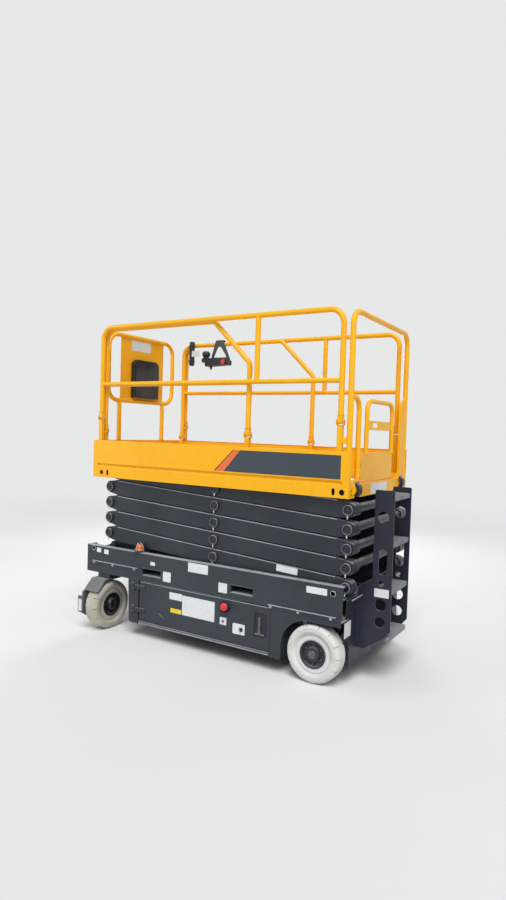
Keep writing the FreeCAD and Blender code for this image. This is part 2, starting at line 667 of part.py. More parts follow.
def make_frame():
    """The cross members between the beams: front plate, rear box with the stack's lugs, steering
    beam, and the sill that carries the cylinder's foot."""
    front = pad("front_plate", "YZ", chassis_front - front_sheet, chassis_front, [
        (-beam_face, beam_base), (beam_face, beam_base), (beam_face, beam_top), (beam_face - 90, beam_top),
        (beam_face - 130, beam_top - 40, 30), (-beam_face + 130, beam_top - 40, 30),
        (-beam_face + 90, beam_top), (-beam_face, beam_top)])
    box = pad("rear_box", "XZ", -beam_inner, beam_inner, [
        (chassis_rear, beam_base), (chassis_rear + 70, beam_base), (chassis_rear + 70, beam_deck),
        (chassis_rear, beam_deck)], cuts=[[
            (chassis_rear + 8, beam_base + 8), (chassis_rear + 62, beam_base + 8),
            (chassis_rear + 62, beam_deck - 8), (chassis_rear + 8, beam_deck - 8)]])
    lug = pad("pivot_lug", "XZ", beam_inner - 24, beam_inner - 2, [
        (chassis_rear, beam_deck - 60), (pin_x + 64, beam_deck - 60), (pin_x + 84, beam_deck - 8),
        (pin_x + 45, pin_height + 45, 30), (pin_x - 45, pin_height + 45, 44),
        (pin_x - 45, pin_height - 25, 20), (chassis_rear, beam_deck - 4)],
        rings=[(pin_x, pin_height, bore_radius)])
    rear = fuse("rear_box_solid", [box, lug, mirrored("pivot_lug_mirror", lug)])
    top = tyre_radius * 2 + yoke_gap + yoke_sheet
    axle = pad("steer_beam", "YZ", front_axle - 60, front_axle + 60, [
        (-beam_face + 6, top + 6), (beam_face - 6, top + 6), (beam_face - 6, beam_base),
        (-beam_face + 6, beam_base)])
    bores = [rod(f"kingpin_bore_{word}", "Z", front_axle, side * track_half, top, 60,
                 kingpin_radius + running_gap) for side, word in ((1, "left"), (-1, "right"))]
    sill = pad("foot_sill", "XZ", -beam_inner, beam_inner, [
        (foot_x - 34, beam_base), (foot_x + 34, beam_base), (foot_x + 34, beam_base + 76),
        (foot_x - 34, beam_base + 76)], cuts=[[
            (foot_x - 26, beam_base + 8), (foot_x + 26, beam_base + 8),
            (foot_x + 26, beam_base + 68), (foot_x - 26, beam_base + 68)]])
    lugs = [pad(f"foot_lug_{word}", "XZ", y - 6, y + 6, [
        (foot_x - 34, beam_base + 74), (foot_x + 34, beam_base + 74), (foot_x + 34, foot_height + 34, 33),
        (foot_x - 34, foot_height + 34, 33)]) for y, word in ((-46, "right"), (46, "left"))]
    pin = rod("foot_pin_bar", "Y", foot_x, -56, foot_height, 112, foot_pin)
    node("chassis_frame", group("chassis_members", [
        front, rear, cut("steer_beam_bored", axle, bores), fuse("foot_solid", [sill, pin] + lugs)]))


def make_side_panels():
    """The panels round the tray bay, with the rear wheel arch and the bay's end walls."""
    face = beam_face
    inside = face - panel_sheet
    arch_front = tray_bay_rear - 83
    arch_top = beam_base - 46
    rear = pad("arch_panel", "XZ", inside, face, [
        (tray_bay_rear, panel_base), (tray_bay_rear, beam_base), (chassis_rear + 6, beam_base),
        (chassis_rear + 6, arch_top), (arch_front, arch_top, arch_radius - 8), (arch_front, panel_base)])
    front = pad("bay_panel", "XZ", inside, face, [
        (tray_bay_front, panel_base + 4), (tray_bay_front + 92, panel_base + 4, 26),
        (tray_bay_front + 106, beam_base), (tray_bay_front, beam_base)])
    walls = [pad(f"bay_wall_{word}", "YZ", x, x + panel_sheet, [
        (130, 200), (200, panel_base + 10), (inside + 1, panel_base + 10), (inside + 1, beam_base),
        (130, beam_base)]) for x, word in ((arch_front, "rear"), (tray_bay_front, "front"))]
    shelf = pad("bay_shelf", "YZ", arch_front + 1, tray_bay_front + 1, [
        (130, beam_base - 6), (beam_inner + 8, beam_base - 6), (beam_inner + 8, beam_base),
        (130, beam_base)])
    ears = []
    for word, middle in (("low", hinge_low), ("high", hinge_high)):
        for part, z in (("under", middle - strap_half - 13), ("over", middle + strap_half + 1)):
            ears.append(pad(f"hinge_ear_{word}_{part}", "XY", z, z + 12, [
                (hinge_x - 12, inside + 1), (hinge_x + 16, inside + 1),
                (hinge_x + 16, face + hinge_out + 11, 10), (hinge_x - 12, face + hinge_out + 11, 10)]))
        ears.append(rod(f"hinge_pin_{word}", "Z", hinge_x, face + hinge_out,
                        middle - strap_half - 10, 2 * strap_half + 20, hinge_pin))
    guard_ear = pad("guard_ear", "YZ", tray_bay_rear - panel_sheet, tray_bay_rear, [
        (face - 30, panel_base + 2), (inside + 1, panel_base + 2), (inside + 1, guard_height + 20),
        (face - 30, guard_height + 20)], rings=[(face - guard_half, guard_height, guard_pin + running_gap)])
    left = fuse("panel_left", [rear, front, shelf, guard_ear] + walls + ears)
    bore = rod("guard_bore", "X", tray_bay_rear - 10, face - guard_half, guard_height,
               tray_bay_front + 30 - tray_bay_rear, guard_pin + running_gap)
    node("side_panels", both("side_panel_pair", cut("panel_bored", left, [bore])))


def make_tray(side, word):
    """A side tray: its door, hinge straps, floor and end walls."""
    face = beam_face
    inside = face - tray_sheet
    back = face - tray_depth
    door = pad(f"tray_door_{word}", "XZ", inside, face, [
        (tray_door_rear, tray_base, 12), (tray_door_front, tray_base, 12),
        (tray_door_front, tray_top, 12), (tray_door_rear, tray_top, 12)])
    pan = pad(f"tray_pan_{word}", "YZ", tray_box_rear, tray_box_front, [
        (inside + 1, tray_base + 3), (inside + 1, tray_base + 3 + tray_sheet),
        (back + tray_sheet, tray_base + 3 + tray_sheet), (back + tray_sheet, tray_base + 90),
        (back, tray_base + 90), (back, tray_base + 3)])
    ends = [pad(f"tray_end_{word}_{end}", "YZ", x, x + tray_sheet, [
        (back, tray_base + 3), (inside + 1, tray_base + 3), (inside + 1, tray_top - 8),
        (inside - 60, tray_top - 8), (back, tray_base + 90)])
        for x, end in ((tray_box_rear, "rear"), (tray_box_front - tray_sheet, "front"))]
    straps = []
    for spot, middle in (("low", hinge_low), ("high", hinge_high)):
        leaf = pad(f"tray_leaf_{word}_{spot}", "XY", middle - strap_half, middle + strap_half, [
            (hinge_x - 110, face - 1), (hinge_x - 61, face - 1), (hinge_x - 55, face + 0.5),
            (hinge_x, face + 0.5), (hinge_x, face + 8), (hinge_x - 110, face + 8)])
        knuckle = rod(f"tray_knuckle_{word}_{spot}", "Z", hinge_x, face + hinge_out, middle - strap_half,
                      2 * strap_half, knuckle_radius)
        hole = rod(f"strap_bore_{word}_{spot}", "Z", hinge_x, face + hinge_out, middle - strap_half - 2,
                   2 * strap_half + 4, hinge_pin + running_gap)
        strap = fuse(f"tray_strap_{word}_{spot}", [leaf, knuckle])
        straps.append(cut(f"strap_{word}_{spot}", strap, [hole]))
    solid = fuse(f"tray_solid_{word}", [door, pan] + ends + straps)
    if side < 0:
        solid = mirrored(f"tray_mirror_{word}", solid)
    node(f"tray_{word}", solid)


def make_tray_contents():
    """The heavy things in the trays: batteries on the left, tank and pump on the right."""
    low = tray_base + 3 + tray_sheet
    back = beam_face - tray_depth + tray_sheet
    first = tray_box_rear + tray_sheet + 35
    batteries = []
    for index in range(3):
        start = first + index * (battery_length + 8)
        end = start + battery_length
        batteries.append(pad(f"battery_{index}", "XZ", back + 20, back + 20 + battery_width, [
            (start, low), (end, low), (end, low + battery_height, 10), (start, low + battery_height, 10)]))
    node("batteries", group("battery_row", batteries))
    tank = pad("tank_block", "XZ", -back - 20 - tank_width, -back - 20, [
        (first, low, 6), (first + tank_length, low, 6), (first + tank_length, low + tank_height, 30),
        (first, low + tank_height, 30)])
    node("hydraulic_tank", tank)


def make_controls():
    """The ground controls on the left tray's door: stop button, key plate and recessed lever."""
    face = beam_face
    button = turned("stop_button_head", "XY", "V", [
        (0, 0), (20, 0), (20, 12), (33, 16), (33, 26), (24, 33), (0, 34)])
    place(button, -127, face, 385)
    plate = pad("key_plate", "XZ", face, face + 4, [
        (-291, 209, 8), (-192, 209, 8), (-192, 282, 8), (-291, 282, 8)])
    switch = pad("switch_plate", "XZ", face, face + 4, [
        (-138, 251, 6), (-82, 251, 6), (-82, 303, 6), (-138, 303, 6)])
    key = rod("key_switch", "Y", -262, face + 3, 246, 18, 11)
    toggle = rod("toggle_switch", "Y", -110, face + 3, 277, 20, 8)
    frame = pad("lever_frame", "XZ", face, face + 5, [
        (-461, 228, 14), (-361, 228, 14), (-361, 396, 14), (-461, 396, 14)],
        cuts=[[(-449, 240, 8), (-373, 240, 8), (-373, 384, 8), (-449, 384, 8)]])
    lever = pad("lever_bar", "XZ", face, face + 9, [
        (-420, 232, 6), (-402, 232, 6), (-402, 392, 6), (-420, 392, 6)])
    node("ground_controls", group("control_pieces", [
        button, fuse("key_panel", [plate, key]), fuse("switch_panel", [switch, toggle]),
        fuse("lever_panel", [frame, lever])]))


def make_guard(side, word):
    """A pothole guard: a plate hinged under the edge of the chassis, here folded up flat."""
    axis = beam_face - guard_half
    low = guard_height - guard_half
    high = guard_height + guard_half
    start = tray_bay_rear + 6
    end = tray_bay_front - 6
    plate = pad(f"guard_plate_{word}", "YZ", start, end, [
        (axis - guard_width, low + 13), (axis - guard_width, low), (axis, low, 0.5),
        (axis + 9, low + 2, 5), (axis + 9, high - 2, 5), (axis, high), (axis - 12, high),
        (axis - 12, low + 4), (axis - guard_width + 4, low + 4), (axis - guard_width + 4, low + 13)])
    ends = [rod(f"guard_pin_{word}_{part}", "X", x, axis, guard_height, 18, guard_pin)
            for x, part in ((start - 10, "rear"), (end - 8, "front"))]
    solid = fuse(f"guard_solid_{word}", [plate] + ends)
    if side < 0:
        solid = mirrored(f"guard_mirror_{word}", solid)
    node(f"pothole_guard_{word}", solid)


def make_rear_axle():
    """The rear axle: a cross beam on hanger plates, with the two wheel motors and spindles."""
    beam = pad("axle_beam", "XZ", -motor_face, motor_face, [
        (rear_axle - 45, tyre_radius - 40, 10), (rear_axle + 45, tyre_radius - 40, 10),
        (rear_axle + 45, tyre_radius + 50, 10), (rear_axle - 45, tyre_radius + 50, 10)])
    pieces = [beam]
    for side, word in ((1, "left"), (-1, "right")):
        pieces.append(pad(f"axle_hanger_{word}", "XZ", *span(side, motor_face - 14, motor_face), [
            (rear_axle - 75, tyre_radius - 60, 20), (rear_axle + 75, tyre_radius - 60, 20),
            (rear_axle + 110, beam_base),
            (rear_axle - 110, beam_base)]))
        pieces.append(pad(f"axle_shelf_{word}", "XZ", *span(side, motor_face - 14, beam_inner + 20), [
            (rear_axle - 110, beam_base - 12), (rear_axle + 110, beam_base - 12),
            (rear_axle + 110, beam_base - running_gap), (rear_axle - 110, beam_base - running_gap)]))
        pieces.append(disc(f"wheel_motor_{word}", "XZ", *span(side, motor_face - 5, motor_face + 52),
                           [(rear_axle, tyre_radius, motor_radius)]))
        pieces.append(disc(f"rear_spindle_{word}", "XZ", *span(side, motor_face + 40, track_half + 56),
                           [(rear_axle, tyre_radius, spindle_radius)]))
    node("rear_axle", fuse("rear_axle_solid", pieces))


def make_ladder():
    """Two side plates behind the chassis, and the steps between them."""
    low = step_first - 101
    foot = chassis_rear - 8
    profile = [
        (ladder_front, ladder_top, 12), (ladder_rear, ladder_top, 12), (ladder_rear, step_first + 38),
        (ladder_rear + 45, step_first - 14), (foot - 50, low), (foot, low), (foot, beam_deck + 40),
        (ladder_front, beam_deck + 105, 40)]
    middle = (ladder_rear + ladder_front) / 2
    holes = [(middle + 6, step_first + share * step_pitch, radius) for share, radius in (
        (0.29, plate_hole - 3), (0.67, plate_hole), (1.12, plate_hole / 2), (2.55, plate_hole))]
    slot_low = step_first + 1.32 * step_pitch
    slot_high = step_first + 1.87 * step_pitch
    slot = [(middle - slot_half, slot_low, slot_half - 2), (middle + slot_half, slot_low, slot_half - 2),
            (middle + slot_half, slot_high, slot_half - 2), (middle - slot_half, slot_high, slot_half - 2)]
    plates = [pad(f"ladder_plate_{word}", "XZ", y - ladder_sheet, y, profile, holes, [slot])
              for y, word in ((ladder_left, "left"), (ladder_right + ladder_sheet, "right"))]
    back = pad("ladder_back", "YZ", foot, foot + 8, [
        (-475, panel_base), (475, panel_base), (475, beam_base - 4), (beam_inner + 60, beam_base - 4),
        (beam_inner + 60, beam_deck - 10), (-beam_inner - 60, beam_deck - 10),
        (-beam_inner - 60, beam_base - 4), (-475, beam_base - 4)])
    node("ladder_frame", fuse("ladder_solid", plates + [back]))
    near = ladder_left - ladder_sheet - running_gap
    far = ladder_right + ladder_sheet + running_gap
    steps = []
    for index in range(step_count):
        z = step_first + index * step_pitch
        steps.append(pad(f"step_{index}", "XZ", far, near, [
            (ladder_rear + 8, z - 30), (ladder_rear + 8, z, 4), (ladder_front - 8, z, 4),
            (ladder_front - 8, z - 30), (ladder_front - 12, z - 30), (ladder_front - 12, z - 4),
            (ladder_rear + 12, z - 4), (ladder_rear + 12, z - 30)]))
    node("ladder_steps", group("step_row", steps))


def make_arm(name, near, bored):
    """One left arm, drawn level with its first pin at the origin: an outline with tapered ends."""
    low, high = -arm_depth / 2, arm_depth / 2
    end = arm_end / 2
    tip = end + 5
    outline = [
        (-tip, -end, end - 2), (arm_taper, low), (arm_length - arm_taper, low),
        (arm_length + tip, -end, end - 2), (arm_length + tip, end, end - 2),
        (arm_length - arm_taper, high), (arm_taper, high), (-tip, end, end - 2)]
    rings = [(x, 0, bore_radius) for x in bored]
    return pad(name, "XZ", near, near + arm_width, outline, rings)


def make_outer_arms():
    """The outer pairs: each arm carries its pins inwards and a boss outside each pin."""
    middle = arm_length / 2
    for stage in range(1, 6):
        name = f"outer_{stage}"
        pieces = [make_arm(f"{name}_bar", outer_arm, [])]
        spots = [(0, "rear"), (middle, "middle")] + ([(arm_length, "front")] if stage < 5 else [])
        inward = inner_arm - boss_length + 4
        for x, word in spots:
            pieces.append(rod(f"{name}_{word}_pin", "Y", x, inward, 0, outer_arm + 2 - inward, pin_radius))
            pieces.append(rod(f"{name}_{word}_boss", "Y", x, outer_face - 1, 0, 7, pin_radius))
        if stage == 5:
            pieces.append(rod(f"{name}_axle", "Y", arm_length, outer_face - 2, 0, 8, 16))
            pieces.append(rod(f"{name}_roller", "Y", arm_length, outer_face + 5, 0, roller_width,
                              roller_radius))
        pair = both(f"{name}_pair", fuse(f"{name}_left", pieces))
        place(pair, pin_x, 0, pin_height + (stage - 1) * stage_rise, (0, 1, 0), -rest_angle)
        node(f"outer_arms_{stage}", pair)


def make_inner_arms():
    """The inner pairs: bored at their pins and joined by cross tubes; the lowest one rolls."""
    middle = arm_length / 2
    reach = inner_arm - boss_length
    for stage in range(1, 6):
        name = f"inner_{stage}"
        bored = [0, middle] + ([arm_length] if stage > 1 else [])
        side = [make_arm(f"{name}_bar", inner_arm, bored)]
        for index, x in enumerate(bored):
            side.append(disc(f"{name}_boss_{index}", "XZ", reach, inner_arm + 1,
                             [(x, 0, boss_radius), (x, 0, bore_radius)]))
        if stage == 1:
            side.append(rod(f"{name}_axle", "Y", arm_length, inner_face - 2, 0, 10, 16))
            side.append(rod(f"{name}_roller", "Y", arm_length, inner_face + 7, 0, roller_width,
                            roller_radius))
        left = fuse(f"{name}_left", side)
        crossing = [x for x in bored if (stage > 1 or x is not middle) and (stage < 5 or x is not bored[0])]
        ties = [rod(f"{name}_tube_{index}", "Y", x, -reach - 2, 0, 2 * reach + 4, cross_radius)
                for index, x in enumerate(crossing)]
        if stage == 1:
            ties += cylinder_bracket()
        pair = fuse(f"{name}_pair", [left, mirrored(f"{name}_right", left)] + ties)
        place(pair, pin_x, 0, pin_height + stage * stage_rise, (0, 1, 0), rest_angle)
        node(f"inner_arms_{stage}", pair)


def cylinder_bracket():
    """The cross tube and lugs on the lowest inner arms that the lift cylinder pushes up."""
    x = arm_length / 2 - eye_back
    reach = inner_arm + 2
    bar = rod("push_tube", "Y", x, -reach, 0, 2 * reach, cross_radius)
    lugs = [pad(f"push_lug_{word}", "XZ", y - 6, y + 6, [
        (x - 40, 12), (x - 34, -eye_drop - 34, 33), (x + 34, -eye_drop - 34, 33), (x + 40, 12)])
        for y, word in ((-48, "right"), (48, "left"))]
    return [bar] + lugs


def make_cylinder():
    """The lift cylinder, along its rest direction: barrel with its foot eye, and the rod."""
    barrel = turned("barrel_tube", "XY", "H", [
        (-34, 0), (-34, barrel_radius - 8), (-50, barrel_radius), (-barrel_length + 60, barrel_radius),
        (-barrel_length + 60, barrel_radius + 4), (-barrel_length, barrel_radius + 4),
        (-barrel_length, rod_radius + running_gap), (-barrel_length + 50, rod_radius + running_gap),
        (-barrel_length + 50, barrel_bore), (-56, barrel_bore), (-56, 0)])
    foot_eye = disc("barrel_eye", "XZ", -30, 30, [(0, 0, 38)])
    foot_hole = rod("barrel_eye_hole", "Y", 0, -40, 0, 80, foot_pin + running_gap)
    shell = cut("barrel_solid", fuse("barrel_pieces", [barrel, foot_eye]), [foot_hole])
    place(shell, foot_x, 0, foot_height, (0, 1, 0), cylinder_rise)
    node("cylinder_barrel", shell)
    bar = turned("rod_bar", "XY", "H", [
        (30 - cylinder_length, 0), (30 - cylinder_length, rod_radius), (-70, rod_radius),
        (-70, barrel_bore - running_gap), (-64, barrel_bore - running_gap), (-64, 0)])
    eye = disc("rod_eye", "XZ", -28, 28, [(-cylinder_length, 0, 38), (-cylinder_length, 0, foot_pin)])
    rod_piece = fuse("rod_solid", [bar, eye])
    place(rod_piece, foot_x, 0, foot_height, (0, 1, 0), cylinder_rise)
    node("cylinder_rod", rod_piece)


def make_platform():
    """The main deck: grooved side channels, ledges over the arms, sunken floor and pivots."""
    face = deck_half
    inside = face - deck_sheet
    step = face - groove_depth
    side = pad("deck_side", "YZ", deck_rear, deck_front, [
        (face - 40, deck_base), (face, deck_base), (face, groove_base), (step, groove_base + 6),
        (step, groove_top - 6), (face, groove_top), (face, skirt_top), (face - skirt_lip, skirt_top),
        (face - skirt_lip, skirt_top - deck_sheet), (inside, skirt_top - deck_sheet),
        (inside, groove_top + 2), (step - deck_sheet, groove_top - 4), (step - deck_sheet, groove_base + 4),
        (inside, groove_base - 2), (inside, deck_base + deck_sheet), (face - 40, deck_base + deck_sheet)])
    ends = [pad(f"groove_end_{word}", "XZ", step - deck_sheet, face, [
        (edge, groove_base - 4), (tip - slant, groove_base - 4), (tip, groove_top + 4), (edge, groove_top + 4)])
        for word, edge, tip, slant in (("rear", deck_rear, groove_rear, 18),
                                       ("front", deck_front, groove_front, 47))]
    hole_z = deck_base + deck_hole_rise
    holes = [rod(f"deck_hole_{word}", "Y", x, step - 10, hole_z, 30, deck_hole)
             for word, x in (("rear", deck_rear + 48), ("front", deck_front - 91))]
    holes += [pad(f"deck_slot_{word}", "XZ", step - 10, step + 20, [
        (x - deck_slot, hole_z - 22, deck_slot - 1), (x + deck_slot, hole_z - 22, deck_slot - 1),
        (x + deck_slot, hole_z + 22, deck_slot - 1), (x - deck_slot, hole_z + 22, deck_slot - 1)])
        for word, x in (("rear", deck_rear + 107), ("front", deck_front - 155))]
    side = cut("deck_side_holed", fuse("deck_side_ended", [side] + ends), holes)
    ledge = pad("deck_ledge", "YZ", deck_rear, deck_front, [
        (ledge_inner - deck_sheet, floor_height - rib_depth), (ledge_inner, floor_height - rib_depth),
        (ledge_inner, ledge_height - deck_sheet), (inside + 1, ledge_height - deck_sheet),
        (inside + 1, ledge_height), (ledge_inner - deck_sheet, ledge_height)])
    web = step - deck_sheet + 1
    track = pad("deck_track", "YZ", -130, deck_front - 6, [
        (outer_face + 2, top_track), (web, top_track), (web, top_track + 8),
        (outer_face + 10, top_track + 8), (outer_face + 10, ledge_height - 2),
        (outer_face + 2, ledge_height - 2)])
    lug = pad("deck_lug", "XZ", outer_arm + 2, outer_arm + 26, [
        (pin_x - 12, ledge_height - 4), (pin_x - 38, top_pin - 38, 36), (pin_x + 38, top_pin - 38, 36),
        (pin_x + 90, ledge_height - 4)])
    pin = rod("deck_pin", "Y", pin_x, inner_arm - boss_length + 4, top_pin, outer_arm + 4 - inner_arm
              + boss_length, pin_radius)
    notch = rod("ledge_notch", "Y", pin_x, ledge_inner - 12, top_pin, 20, boss_radius + 5)
    left = fuse("deck_left", [side, cut("ledge_notched", ledge, [notch]), track, lug, pin])
    floor = pad("deck_floor", "YZ", deck_rear, deck_front, [
        (-ledge_inner + 1, floor_height - deck_sheet), (ledge_inner - 1, floor_height - deck_sheet),
        (ledge_inner - 1, floor_height), (-ledge_inner + 1, floor_height)])
    ribs = [pad(f"deck_rib_{index}", "XZ", -ledge_inner + 1, ledge_inner - 1, [
        (x, floor_height - rib_depth), (x + 45, floor_height - rib_depth),
        (x + 45, floor_height - rib_depth + 4), (x + 4, floor_height - rib_depth + 4),
        (x + 4, floor_height - 4), (x, floor_height - 4)])
        for index, x in enumerate([deck_rear + 186 + step * rib_pitch for step in range(6)])]
    front = pad("deck_beam_front", "YZ", deck_front - 6, deck_front, [
        (-face, deck_base), (face, deck_base), (face, ledge_height - 1), (ledge_inner - 2, ledge_height - 1),
        (ledge_inner - 2, floor_height), (-ledge_inner + 2, floor_height),
        (-ledge_inner + 2, ledge_height - 1), (-face, ledge_height - 1)])
    middle = inner_arm - boss_length - 8
    rear = pad("deck_beam_rear", "YZ", deck_rear, deck_rear + 6, [
        (-middle, deck_base), (middle, deck_base), (middle, floor_height), (-middle, floor_height)])
    corner = pad("deck_corner_rear", "YZ", deck_rear, deck_rear + 6, [
        (face, deck_base), (face, ledge_height - 1), (ledge_inner - 2, ledge_height - 1),
        (ledge_inner - 2, top_pin + 50), (inner_face + 12, top_pin + 50), (inner_face + 12, deck_base)])
    corners = [corner, mirrored("deck_corner_mirror", corner)]
    pieces = [left, mirrored("deck_right", left), floor, front, rear]
    node("platform_deck", fuse("deck_solid", pieces + corners + ribs))


def make_extension():
    """The roll-out deck: its floor on runners over the side ledges, and its toe boards."""
    half = slide_half
    low = ledge_height + running_gap
    top = low + 10
    inside = half - slide_sheet
    end = deck_front + slide_sheet + running_gap
    tray = pad("slide_tray", "YZ", slide_rear, end, [
        (-half, low + 5), (half, low + 5), (half, skirt_top - 7), (inside, skirt_top - 7), (inside, top),
        (-inside, top), (-inside, skirt_top - 7), (-half, skirt_top - 7)])
    runners = [pad(f"slide_runner_{word}", "YZ", slide_rear, deck_front - 10, [
        (side * 430, low), (side * 470, low), (side * 470, low + 6), (side * 430, low + 6)])
        for side, word in ((1, "left"), (-1, "right"))]
    front = pad("slide_front", "YZ", end - slide_sheet, end, [
        (-half, low + 5), (half, low + 5), (half, skirt_top), (-half, skirt_top)])
    ribs = [block(f"slide_rib_{index}", (x, x + 40), (-380, 380), (low - 22, low + 6))
            for index, x in enumerate([slide_rear + 20 + step * rib_pitch for step in range(4)])]
    pieces = [tray, front] + runners + ribs
    for side, word, pivot in ((1, "left", inner_left_pivot), (-1, "right", inner_right_pivot)):
        for x, spot in ((bent_post, "rear"), (rail_front, "front")):
            pieces.append(pad(f"slide_socket_{word}_{spot}", "YZ", x - 17, x + 17, [
                (side * (inner_rail - 17), top - 2), (side * (inner_rail + 17), top - 2),
                (side * (inner_rail + 17), pivot - 24), (side * (inner_rail - 17), pivot - 24)]))
            pieces.append(rail_fork(f"slide_fork_{word}_{spot}", x, side * inner_rail, pivot, 24))
    for side in (-1, 1):
        pieces.append(pad(f"loop_stub_{side}", "XZ", side * loop_post - 17, side * loop_post + 17, [
            (end - 2, low + 8), (loop_x + 17, low + 8), (loop_x + 17, skirt_top + 2),
            (end - 2, skirt_top + 2)]))
    node("extension_deck", fuse("extension_solid", pieces))


def rail_fork(name, x, y, pivot, under):
    """Two ears and a pin, along X, that a folding rail's post turns on."""
    ears = [pad(f"{name}_{word}", "YZ", x + near, x + near + 4, [
        (y - 17, pivot - under - 1), (y + 17, pivot - under - 1), (y + 17, pivot + 17, 16),
        (y - 17, pivot + 17, 16)]) for near, word in ((-25, "rear"), (21, "front"))]
    base = block(f"{name}_base", (x - 25, x + 25), (y - 17, y + 17), (pivot - under - 1, pivot - under + 3))
    pin = rod(f"{name}_pin", "X", x - 27, y, pivot, 54, pivot_radius)
    return fuse(name, ears + [base, pin])


def post_foot(name, x, y, pivot, top):
    """A rail's post down to its hinge: a tube on a bored tongue with a rounded end."""
    post = rod(f"{name}_post", "Z", x, y, pivot + 40, top - pivot - 40, tube_radius)
    tongue = pad(f"{name}_tongue", "YZ", x - 17, x + 17, [
        (y - 15, pivot - 15, 14.5), (y + 15, pivot - 15, 14.5), (y + 15, pivot + 46), (y - 15, pivot + 46)],
        rings=[(y, pivot, pivot_radius + running_gap)])
    return fuse(name, [post, tongue])


def make_outer_rail(side, word, pivot):
    """A side rail of the main deck, with both ends bent down to its hinges."""
    y = side * outer_rail
    hoop = tube(f"rail_hoop_{word}", "XZ", y, [
        (rail_rear, pivot + 120), (rail_rear, top_rail, bend_radius), (rail_front, top_rail, bend_radius),
        (rail_front, pivot + 120)], tube_radius)
    middle = rod(f"rail_middle_{word}", "X", rail_rear, y, mid_rail, rail_front - rail_rear, tube_radius - 2)
    short = rod(f"rail_short_{word}", "Z", short_post, y, mid_rail, top_rail - mid_rail, tube_radius)
    feet = [post_foot(f"rail_foot_{word}_{spot}", x, y, pivot, pivot + 125)
            for x, spot in ((rail_rear, "rear"), (rail_front, "front"))]
    node(f"side_rail_{word}", fuse(f"side_rail_solid_{word}", [hoop, middle, short] + feet))


def make_inner_rail(side, word, pivot):
    """A side rail of the extension: straight front post, bent rear post."""
    y = side * inner_rail
    top = top_rail - 9
    hoop = tube(f"inner_hoop_{word}", "XZ", y, [
        (bent_post, pivot + 120), (bent_post, bent_elbow, 60), (bent_top, top, 60),
        (rail_front, top, bend_radius), (rail_front, pivot + 120)], tube_radius)
    middle = rod(f"inner_middle_{word}", "X", bent_post, y, mid_rail - 2, rail_front - bent_post,
                 tube_radius - 3)
    feet = [post_foot(f"inner_foot_{word}_{spot}", x, y, pivot, pivot + 125)
            for x, spot in ((bent_post, "rear"), (rail_front, "front"))]
    node(f"extension_rail_{word}", fuse(f"extension_rail_solid_{word}", [hoop, middle] + feet))


def make_front_rail():
    """The front rail: a closed loop on two posts, its infill plate and the document box."""
    loop = tube("loop_tube", "YZ", loop_x, [
        (-loop_half, loop_low, loop_bend), (loop_half, loop_low, loop_bend),
        (loop_half, loop_high, loop_bend), (-loop_half, loop_high, loop_bend)], tube_radius, True)
    posts = [rod(f"loop_post_{word}", "Z", loop_x, y, skirt_top + 2, loop_low - skirt_top, tube_radius)
             for y, word in ((loop_post, "left"), (-loop_post, "right"))]
    plate = pad("loop_plate", "YZ", loop_x - 3, loop_x + 3, [
        (-loop_post + 5, loop_low + 2), (loop_post - 5, loop_low + 2), (loop_post - 5, loop_high - 2),
        (-loop_post + 5, loop_high - 2)])
    node("front_rail", fuse("front_rail_solid", [loop, plate] + posts))
    sheets = []
    for word, near, far, inset in (("shell", -3 - running_gap, -39, 0), ("lid", -38, -44, 17)):
        low = loop_low + 30 + inset
        high = low + document_height - 2 * inset
        left = document_half - inset
        sheets.append(pad(f"box_{word}", "YZ", loop_x + far, loop_x + near, [
            (document_y - left, low, 14), (document_y + left, low, 14), (document_y + left, high - 32, 10),
            (document_y + left - 36, high, 10), (document_y - left + 36, high, 10),
            (document_y - left, high - 32, 10)]))
    box, lid = sheets
    node("document_box", fuse("document_box_solid", [box, lid]))


def make_rear_frame():
    """The fixed rear frame: the hoop over the entry, the jambs and the outer rails' stanchions."""
    x = deck_rear + tube_radius
    base = ledge_height + running_gap
    hoop = tube("frame_hoop", "YZ", x, [
        (-frame_half, base), (-frame_half, frame_top, bend_radius), (frame_half, frame_top, bend_radius),
        (frame_half, base)], tube_radius)
    near = tube("frame_jamb", "YZ", x, [
        (jamb, base), (jamb, jamb_top, 80), (frame_half, jamb_top)], tube_radius - 2)
    far = pad("frame_far_post", "YZ", x - 10, x + 10, [
        (-frame_half, base), (-far_post_inner, base), (-far_post_inner, jamb_top, 60),
        (-frame_half, jamb_top + 60)])
    pieces = [hoop, near, far]
    for side, word, pivot in ((1, "left", outer_left_pivot), (-1, "right", outer_right_pivot)):
        y = side * outer_rail
        for spot, post_x in (("rear", rail_rear), ("front", rail_front)):
            pieces.append(pad(f"stanchion_{word}_{spot}", "YZ", post_x - 17, post_x + 17, [
                (y - 15, base), (y + 15, base), (y + 15, pivot - 24), (y - 15, pivot - 24)]))
            pieces.append(rail_fork(f"stanchion_fork_{word}_{spot}", post_x, y, pivot, 24))
        pieces.append(block(f"stanchion_tie_{word}", (x, rail_rear), (y - 10, y + 10),
                            (inner_right_pivot + 10, inner_left_pivot)))
    for index, z in enumerate((gate_hinge_low, gate_hinge_high)):
        for part, low in (("under", z - 11), ("over", z + gate_knuckle + 1)):
            pieces.append(pad(f"gate_ear_{index}_{part}", "XY", low, low + 10, [
                (x - 9, jamb - 12), (x - 9, kick_near - 10, 8), (x + 9, kick_near - 10, 8),
                (x + 9, jamb - 12)]))
        pieces.append(rod(f"gate_hinge_pin_{index}", "Z", x, kick_near, z - 10, gate_knuckle + 20, gate_pin))
    node("rear_frame", fuse("rear_frame_solid", pieces))


